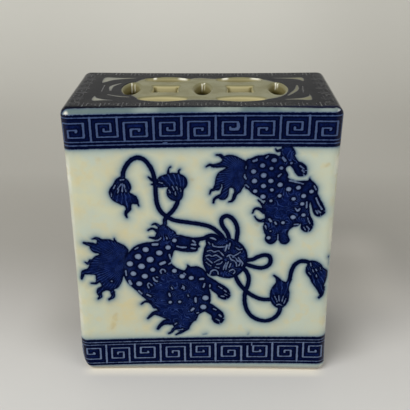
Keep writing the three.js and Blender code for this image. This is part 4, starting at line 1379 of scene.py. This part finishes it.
class Glaze(Shader):
    """The layers of the glaze, which share the ink's depth and a few measures of the place."""

    def __init__(self, name):
        super().__init__(name)
        self.x, self.y, self.z = self.axes()
        self.from_side = self.math("ABSOLUTE", self.x)
        self.from_middle = self.math("ABSOLUTE", self.plus(self.z, -HEIGHT * MM / 2))
        self.level = self.zone(self.from_middle, HEIGHT / 2 - 1.0, HEIGHT / 2 - 0.3)
        self.high = self.zone(self.z, 96, 132)
        self.well = self.attribute("well")
        self.on_skin = self.ramp(self.well, 0, 0.015, 1, 0)
        self.ink = self.ink_depth()
        self.outside = self.math("MINIMUM", self.ink, 0.0)

    def ink_depth(self):
        """How deep a point is in the ink, whose edge is ragged and whose bands are ruled lengthwise."""
        fine = self.ramp(self.noise(1300, 3), 0.2, 0.8, -0.08, 0.08)
        coarse = self.ramp(self.noise(520, 2), 0.2, 0.8, -0.09, 0.09)
        ragged = self.plus(fine, coarse)
        ink = self.plus(self.attribute("ink"), ragged)
        half_rule = self.zone(self.z, HEIGHT * 0.4, HEIGHT * 0.6, LOWER_RULE, UPPER_RULE)
        for rule in FRET_RULES:
            away = self.math("ABSOLUTE", self.plus(self.attribute("band"), -rule))
            ink = self.math("MINIMUM", ink, self.math("SUBTRACT", self.plus(away, ragged), half_rule))
        return ink

    def fade(self, reach):
        """Falls off outside the ink, over a reach in millimetres."""
        return self.math("EXPONENT", self.times(self.outside, 1 / reach))

    def hair_lines(self, deep):
        """Pale lines in the inked fur, combed or curled."""
        comb = self.attribute("comb")
        wander = self.times(self.noise(500, 2), HAIR_WANDER)
        combed = self.ramp(self.math("SINE", self.times(self.plus(comb, wander), HAIR_CLOSENESS)), 0.55, 0.95)
        combed = self.times(self.times(combed, deep), self.math("GREATER_THAN", comb, COMBED / 2))
        curled = self.ramp(self.math("SINE", self.times(self.noise(150, 1), CURL_CLOSENESS)), 0.45, 0.95)
        curled = self.times(self.times(curled, deep), self.math("COMPARE", comb, CURLY))
        return self.math("MAXIMUM", combed, curled)

    def ink_colour(self):
        """The ink: nearly black at its edge, bluer and blotchy in wide masses, greyer on the ends."""
        deep = self.ramp(self.ink, 0.15, 0.95)
        blotch = self.ramp(self.noise(260, 4, roughness=0.6), 0.38, 0.66)
        grain = self.ramp(self.noise(1900, 2), 0.35, 0.7)
        printed_end = self.zone(self.from_middle, HEIGHT / 2 - 1.9, HEIGHT / 2 - 1.0)
        broad = self.times(self.ramp(self.ink, 0.6, 1.7), self.ramp(printed_end, 0, 1, 1, 0.15))
        tone = self.times(broad, self.plus(self.times(blotch, 0.4), self.times(grain, 0.5)))
        colour = self.mix(tone, self.mix(deep, INK_EDGE, INK_DARK), INK_MID)
        slipped = self.zone(self.x, 10, 50, 0, -3 * MM)
        from_front = self.zone(self.plus(self.y, slipped), -34.8, -32.6)
        colour = self.mix(self.times(printed_end, from_front), colour, END_INK)
        strength = self.ramp(self.noise(330), 0.35, 0.7, 0.1, 0.75)
        return self.mix(self.times(self.hair_lines(deep), strength), colour, HAIR)

    def ivory(self, pale, warm):
        """The glaze by itself: uneven, milkier to the right, and a painted highlight up the upright edges."""
        patches = self.ramp(self.noise(46, 5, roughness=0.62), 0.36, 0.68)
        ground = self.mix(patches, pale, warm)
        ground = self.mix(self.ramp(self.noise(30, 3), 0.5, 0.7, 0, 0.75), ground, MILK)
        ground = self.mix(self.zone(self.x, -40, HALF_WIDTH, 0, 0.55), ground, MILK)
        # Painted highlight along the upright edges, then its brighter painted streak, strongest on the left
        edge_highlight = self.zone(self.from_side, HALF_WIDTH - 4, HALF_WIDTH - 2)
        ground = self.mix(self.times(edge_highlight, self.ramp(self.noise(70, 3), 0.35, 0.6, 0.2, 0.9)), ground, EDGE_HIGHLIGHT)
        from_streak = self.math("ABSOLUTE", self.plus(self.z, -HIGHLIGHT_HEIGHT * MM))
        streak = self.times(self.zone(from_streak, 2, 14, 1, 0), edge_highlight)
        ground = self.mix(self.times(streak, self.zone(self.x, -2, 2, 0.9, 0.25)), ground, GLINT)
        ground = self.mix(self.ramp(self.noise(150, 5), 0.42, 0.6, 0, 0.4), ground, MILK)
        return self.mix(self.ramp(self.noise(210, 4), 0.5, 0.66, 0, 0.5), ground, warm)

    def pierced(self, ground):
        """The olive flat of an end, darker as painted shade, and painted shade deepening down its holes."""
        # The olive flat, laid darker as painted shade, paler to the left
        tint = self.mix(self.zone(self.x, -46, -34), WORN_END, OLIVE)
        flat = self.times(self.level, self.ramp(self.noise(120, 3), 0.3, 0.7, 0.85, 1))
        ground = self.mix(flat, ground, tint)
        ground = self.mix(self.ramp(self.well, 0.0, 0.015), ground, OLIVE)
        ground = self.mix(self.attribute("cream"), ground, CREAM)
        ground = self.mix(self.ramp(self.well, 0.05, 0.35, 0, 0.75), ground, WELL_SHADE)
        return self.mix(self.ramp(self.well, 0.4, 0.8), ground, DEEP_WELL_SHADE)

    def blued(self, ground):
        """The glaze round the ink, milky over a wide reach and hazy close by, and the rusty stains."""
        milky = self.math("ADD", self.times(self.outside, 1 / REACH), 1.0, clamp=True)
        milky = self.times(self.math("POWER", milky, 2.0), self.plus(self.times(self.level, -1.0), 1.0))
        ground = self.mix(self.times(milky, self.ramp(self.noise(60, 3), 0.3, 0.7, 0.3, 0.95)), ground, MILK)
        rust = self.times(self.attribute("rust"), self.ramp(self.noise(160, 4), 0.35, 0.65, 0.1, 0.42))
        ground = self.mix(rust, ground, RUSTY)
        haze = self.times(self.fade(HAZE_REACH), self.ramp(self.noise(180, 3), 0.3, 0.7, 0.4, 0.85))
        ground = self.mix(self.times(haze, self.on_skin), ground, self.mix(self.level, HAZE, END_HAZE))
        bleed = self.times(self.fade(BLEED_REACH), self.on_skin)
        return self.mix(self.times(bleed, self.ramp(self.level, 0, 1, BLEED_SHARE, 0)), ground, BLEED)

    def edged(self, ground):
        """Painted shade on the rounded rims, painted bounce light on the foot, and the painted glints."""
        # Painted shade over the rounded rims
        rim = self.zone(self.from_middle, HEIGHT / 2 - 4, HEIGHT / 2 - 1.8)
        outermost = self.zone(self.math("ABSOLUTE", self.y), HALF_DEPTH - 6, HALF_DEPTH - 4.5)
        sloping = self.math("MAXIMUM", self.ramp(self.level, 0, 1, 1, 0), outermost)
        rim = self.times(self.times(rim, sloping), self.on_skin)
        tint = self.mix(self.ramp(self.noise(34, 3), 0.42, 0.6), RIM_SHADE, MILK)
        tint = self.mix(self.high, LOW_RIM_SHADE, self.mix(0.35, RIM_SHADE, tint))
        ground = self.mix(self.times(rim, self.ramp(self.high, 0, 1, 0.75, 0.95)), ground, tint)
        # Painted bounce light on the foot, where contact shadow falls
        ground = self.mix(self.zone(self.z, 0.5, 2.2, 0.95, 0), ground, FOOT_BOUNCE_LIGHT)
        return self.mix(self.attribute("glint"), ground, GLINT)

    def stained(self, ground):
        """The bluish lines cut into the ink, and the stain right at its edge."""
        veil = self.times(self.attribute("veil"), self.fade(VEIL_REACH))
        ground = self.mix(veil, ground, self.mix(self.high, VEIL, HIGH_VEIL))
        stain = self.times(self.times(self.fade(STAIN_REACH), STAIN_SHARE), self.on_skin)
        return self.mix(stain, ground, self.mix(self.level, STAIN, END_STAIN))

    def specked(self, ground):
        """Small dark specks, one in some of the cells."""
        cells = self.node("ShaderNodeTexVoronoi", {"Vector": self.place, "Scale": SPECK_SCALE})
        drawn = self.node("ShaderNodeSeparateColor", {0: cells.outputs["Color"]}).outputs[0]
        chance = self.math("GREATER_THAN", drawn, SPECK_CHANCE)
        specks = self.times(self.ramp(cells.outputs["Distance"], 0.03, 0.075, 1, 0), chance)
        return self.mix(self.times(specks, 0.55), ground, SPECK)


def clay_tint(s):
    """Where fired clay is darker, from 0 to 1."""
    return s.ramp(s.noise(150, 5, roughness=0.65), 0.35, 0.7)


def glazed(name, pale, warm, roughness):
    """Ivory glaze over a blue print that has bled a little, with bare clay inside."""
    g = Glaze(name)
    ground = g.blued(g.pierced(g.ivory(pale, warm)))
    ground = g.specked(g.stained(g.edged(ground)))
    colour = g.mix(g.ramp(g.ink, -0.05, 0.09), ground, g.ink_colour())
    bare = g.ramp(g.attribute("bare"), 0.35, 0.65)
    colour = g.mix(bare, colour, g.mix(clay_tint(g), CLAY, CLAY_DARK))
    gloss = g.plus(g.ramp(g.noise(90, 3), 0.3, 0.7, roughness, roughness + 0.07), g.times(bare, 0.5))
    height = g.plus(g.times(g.noise(70, 2), 0.10), g.times(g.noise(950, 2), 0.0035))
    height = g.plus(height, g.times(g.times(g.noise(420, 4), bare), 0.12))
    shine = g.zone(g.from_side, HALF_WIDTH - 4.5, HALF_WIDTH - 2.5, WALL_SHINE, EDGE_SHINE)
    shine = g.ramp(g.level, 0, 1, shine, END_SHINE)
    return g.finish({"Base Color": colour, "Roughness": gloss, "Specular IOR Level": shine}, height)


def clay_material(name):
    """Bare fired clay with finger marks."""
    s = Shader(name)
    tint = clay_tint(s)
    colour = s.mix(tint, CLAY, CLAY_DARK)
    colour = s.mix(s.ramp(s.noise(900, 2), 0.62, 0.72, 0, 0.5), colour, SPECK)
    height = s.plus(s.times(s.noise(110, 3), 0.5), s.times(s.noise(900, 3), 0.05))
    return s.finish({"Base Color": colour, "Roughness": s.ramp(tint, 0, 1, 0.62, 0.8)}, height)


# Camera. Its angles are in degrees, and it looks at a target from a distance in millimetres

AZIMUTH, ELEVATION, ROLL = 0.845, 24.333, -0.229
CAMERA_DISTANCE = 372.346
TARGET = (0.92, 0.0, 81.25)
FOCAL_PIXELS = 697.5
FRAME_PIXELS = 410
SENSOR = 36.0


def add_camera():
    turn, tilt, roll = (math.radians(angle) for angle in (AZIMUTH, ELEVATION, ROLL))
    back = Vector((math.sin(turn) * math.cos(tilt), -math.cos(turn) * math.cos(tilt), math.sin(tilt)))
    right = Vector((0, 0, 1)).cross(back).normalized()
    up = back.cross(right)
    across = math.cos(roll) * right + math.sin(roll) * up
    above = math.cos(roll) * up - math.sin(roll) * right
    camera = bpy.data.objects.new("camera", bpy.data.cameras.new("camera"))
    camera.data.sensor_width = SENSOR
    camera.data.lens = FOCAL_PIXELS * SENSOR / FRAME_PIXELS
    camera.data.clip_start = 0.01
    pose = Matrix((across, above, back)).transposed().to_4x4()
    pose.translation = (Vector(TARGET) + back * CAMERA_DISTANCE) * MM
    camera.matrix_world = pose
    bpy.context.scene.collection.objects.link(camera)
    bpy.context.scene.camera = camera


# The paper sweep, in metres. Its stops are places along the run from front to back and up,
# with the colours that painted shade and light falloff give the paper there

SWEEP_HALF_WIDTH = 1.6
SWEEP_FRONT = -1.4
SWEEP_BEND = 0.42
SWEEP_RADIUS = 0.5
SWEEP_TOP = 1.5
SWEEP_STEPS = 24
SWEEP_STOPS = (
    (-0.06, (204, 203, 200)), (0.03, (186, 183, 179)), (0.11, (158, 155, 148)), (0.25, (163, 160, 153)),
    (0.75, (217, 216, 208)), (1.25, (228, 227, 219)),
)

# Painted light on the paper right before the glaze, warmer and lighter, for the light that the glaze
# throws back on it. From front to back that rises over its reach and falls over its end, and to
# both sides it falls over its ends, all in millimetres

GLOW = shade(218, 214, 204)
GLOW_REACH = (-41.8, -36.8)
GLOW_END = (-32.0, -24.0)
GLOW_ENDS = (57.0, 66.0)

# Patches of painted shade and painted light on the paper: how strong each is, its colour, where it rises
# and falls across from its outer to its inner side, and where from front to back, in millimetres

PAPER_SHADE = shade(150, 146, 138)
PAPER_LIGHT = shade(215, 211, 203)
SHADE_AND_LIGHT_PATCHES = (
    (0.45, PAPER_SHADE, (-112, -70, -60, -40), (-30, 14, 80, 160)),
    (0.3, PAPER_SHADE, (100, 72, 60, 40), (-34, -14, 0, 30)),
    (0.46, PAPER_LIGHT, (140, 106, 69, 60), (8, 50, 94, 146)),
    (0.1, PAPER_SHADE, (-1600, -1500, -240, -60), (150, 350, 1600, 1700)),
    (0.22, PAPER_SHADE, (1600, 1500, 240, 60), (150, 350, 1600, 1700)),
)


def sweep_colour(s, run):
    """The paper's colour along its run, with painted shade and light falloff in it."""
    low, high = SWEEP_STOPS[0][0], SWEEP_STOPS[-1][0]
    reach = s.node("ShaderNodeMapRange", {"Value": run, "From Min": low, "From Max": high}).outputs[0]
    ramp = s.node("ShaderNodeValToRGB", {"Fac": reach})
    ramp.color_ramp.interpolation = "B_SPLINE"
    stops = ramp.color_ramp.elements
    while len(stops) < len(SWEEP_STOPS):
        stops.new(0.5)
    for stop, (place, colour) in zip(stops, SWEEP_STOPS):
        stop.position = (place - low) / (high - low)
        stop.color = shade(*colour)
    return ramp.outputs["Color"]


def sweep_paper():
    """Paper with painted shade greyest just behind the object, and painted light and shade in patches."""
    s = Shader("sweep paper")
    x, y, z = s.axes()
    in_front = s.times(s.zone(y, *GLOW_REACH), s.zone(y, *GLOW_END, 1, 0))
    across = s.zone(s.math("ABSOLUTE", x), *GLOW_ENDS, 1, 0)
    glow = s.times(s.times(in_front, across), s.zone(z, 0, 1, 1, 0))
    paper = s.mix(glow, sweep_colour(s, s.plus(y, z)), GLOW)
    for share, colour, (outer, beside, under, inner), (front, before, behind, back) in SHADE_AND_LIGHT_PATCHES:
        patch = s.times(s.zone(x, outer, beside), s.zone(x, inner, under))
        patch = s.times(patch, s.zone(y, front, before))
        patch = s.times(patch, s.zone(y, back, behind, 0, share))
        paper = s.mix(patch, paper, colour)
    fibre = s.ramp(s.noise(240, 4), 0.3, 0.7, 0.6, 0.68)
    return s.finish({"Base Color": paper, "Roughness": fibre, "Specular IOR Level": 0.08})


def add_sweep():
    """A pale paper sweep: floor in front, bending up behind."""
    profile = [(SWEEP_FRONT, 0.0)]
    for i in range(SWEEP_STEPS + 1):
        angle = math.pi / 2 * i / SWEEP_STEPS
        profile.append((SWEEP_BEND + SWEEP_RADIUS * math.sin(angle), SWEEP_RADIUS * (1 - math.cos(angle))))
    profile.append((SWEEP_BEND + SWEEP_RADIUS, SWEEP_TOP))
    points = [(x, y, z) for y, z in profile for x in (-SWEEP_HALF_WIDTH, SWEEP_HALF_WIDTH)]
    faces = [(2 * i, 2 * i + 1, 2 * i + 3, 2 * i + 2) for i in range(len(profile) - 1)]
    mesh = bpy.data.meshes.new("sweep")
    mesh.from_pydata(points, [], faces)
    mesh.polygons.foreach_set("use_smooth", np.ones(len(faces), bool))
    mesh.materials.append(sweep_paper())
    sweep = bpy.data.objects.new("sweep", mesh)
    bpy.context.scene.collection.objects.link(sweep)


# Lights: name, place and width in metres, power in watts

LIGHTS = (
    ("key", (-0.65, -0.85, 1.25), 1.1, 19.0),
    ("fill", (0.85, -0.85, 1.2), 1.1, 6.6),
)
LIGHT_AIM = (0, 0, 0.07)
WORLD_COLOUR = shade(250, 249, 246)
WORLD_LEVEL = 0.37


def add_lights():
    for name, place, size, power in LIGHTS:
        lamp = bpy.data.objects.new(name, bpy.data.lights.new(name, "AREA"))
        lamp.data.shape = "DISK"
        lamp.data.size = size
        lamp.data.energy = power
        lamp.location = place
        lamp.rotation_euler = (Vector(place) - Vector(LIGHT_AIM)).to_track_quat("Z", "Y").to_euler()
        bpy.context.scene.collection.objects.link(lamp)
    world = bpy.data.worlds.new("studio")
    bpy.context.scene.world = world
    world.use_nodes = True
    background = world.node_tree.nodes["Background"]
    background.inputs["Color"].default_value = WORLD_COLOUR
    background.inputs["Strength"].default_value = WORLD_LEVEL


# The scene

bpy.context.scene.view_settings.view_transform = "Standard"
add_camera()
add_sweep()
add_lights()

panel_glaze = glazed("printed panel glaze", shade(200, 199, 168), shade(201, 192, 153), 0.2)
side_glaze = glazed("side panel glaze", shade(198, 198, 169), shade(197, 191, 159), 0.2)
end_glaze = glazed("pierced end glaze", shade(198, 197, 168), shade(197, 191, 156), 0.16)
inner_clay = clay_material("inner clay")

broad_panel("front_panel", -1, panel_glaze)
broad_panel("back_panel", 1, panel_glaze)
narrow_panel("right_side_panel", 1, side_glaze)
narrow_panel("left_side_panel", -1, side_glaze)
end_plate("top_end_plate", False, end_glaze)
end_plate("base_end_plate", True, end_glaze)

for name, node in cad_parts.items():
    if "coil" in name:
        for slot in node.material_slots:
            slot.material = inner_clay
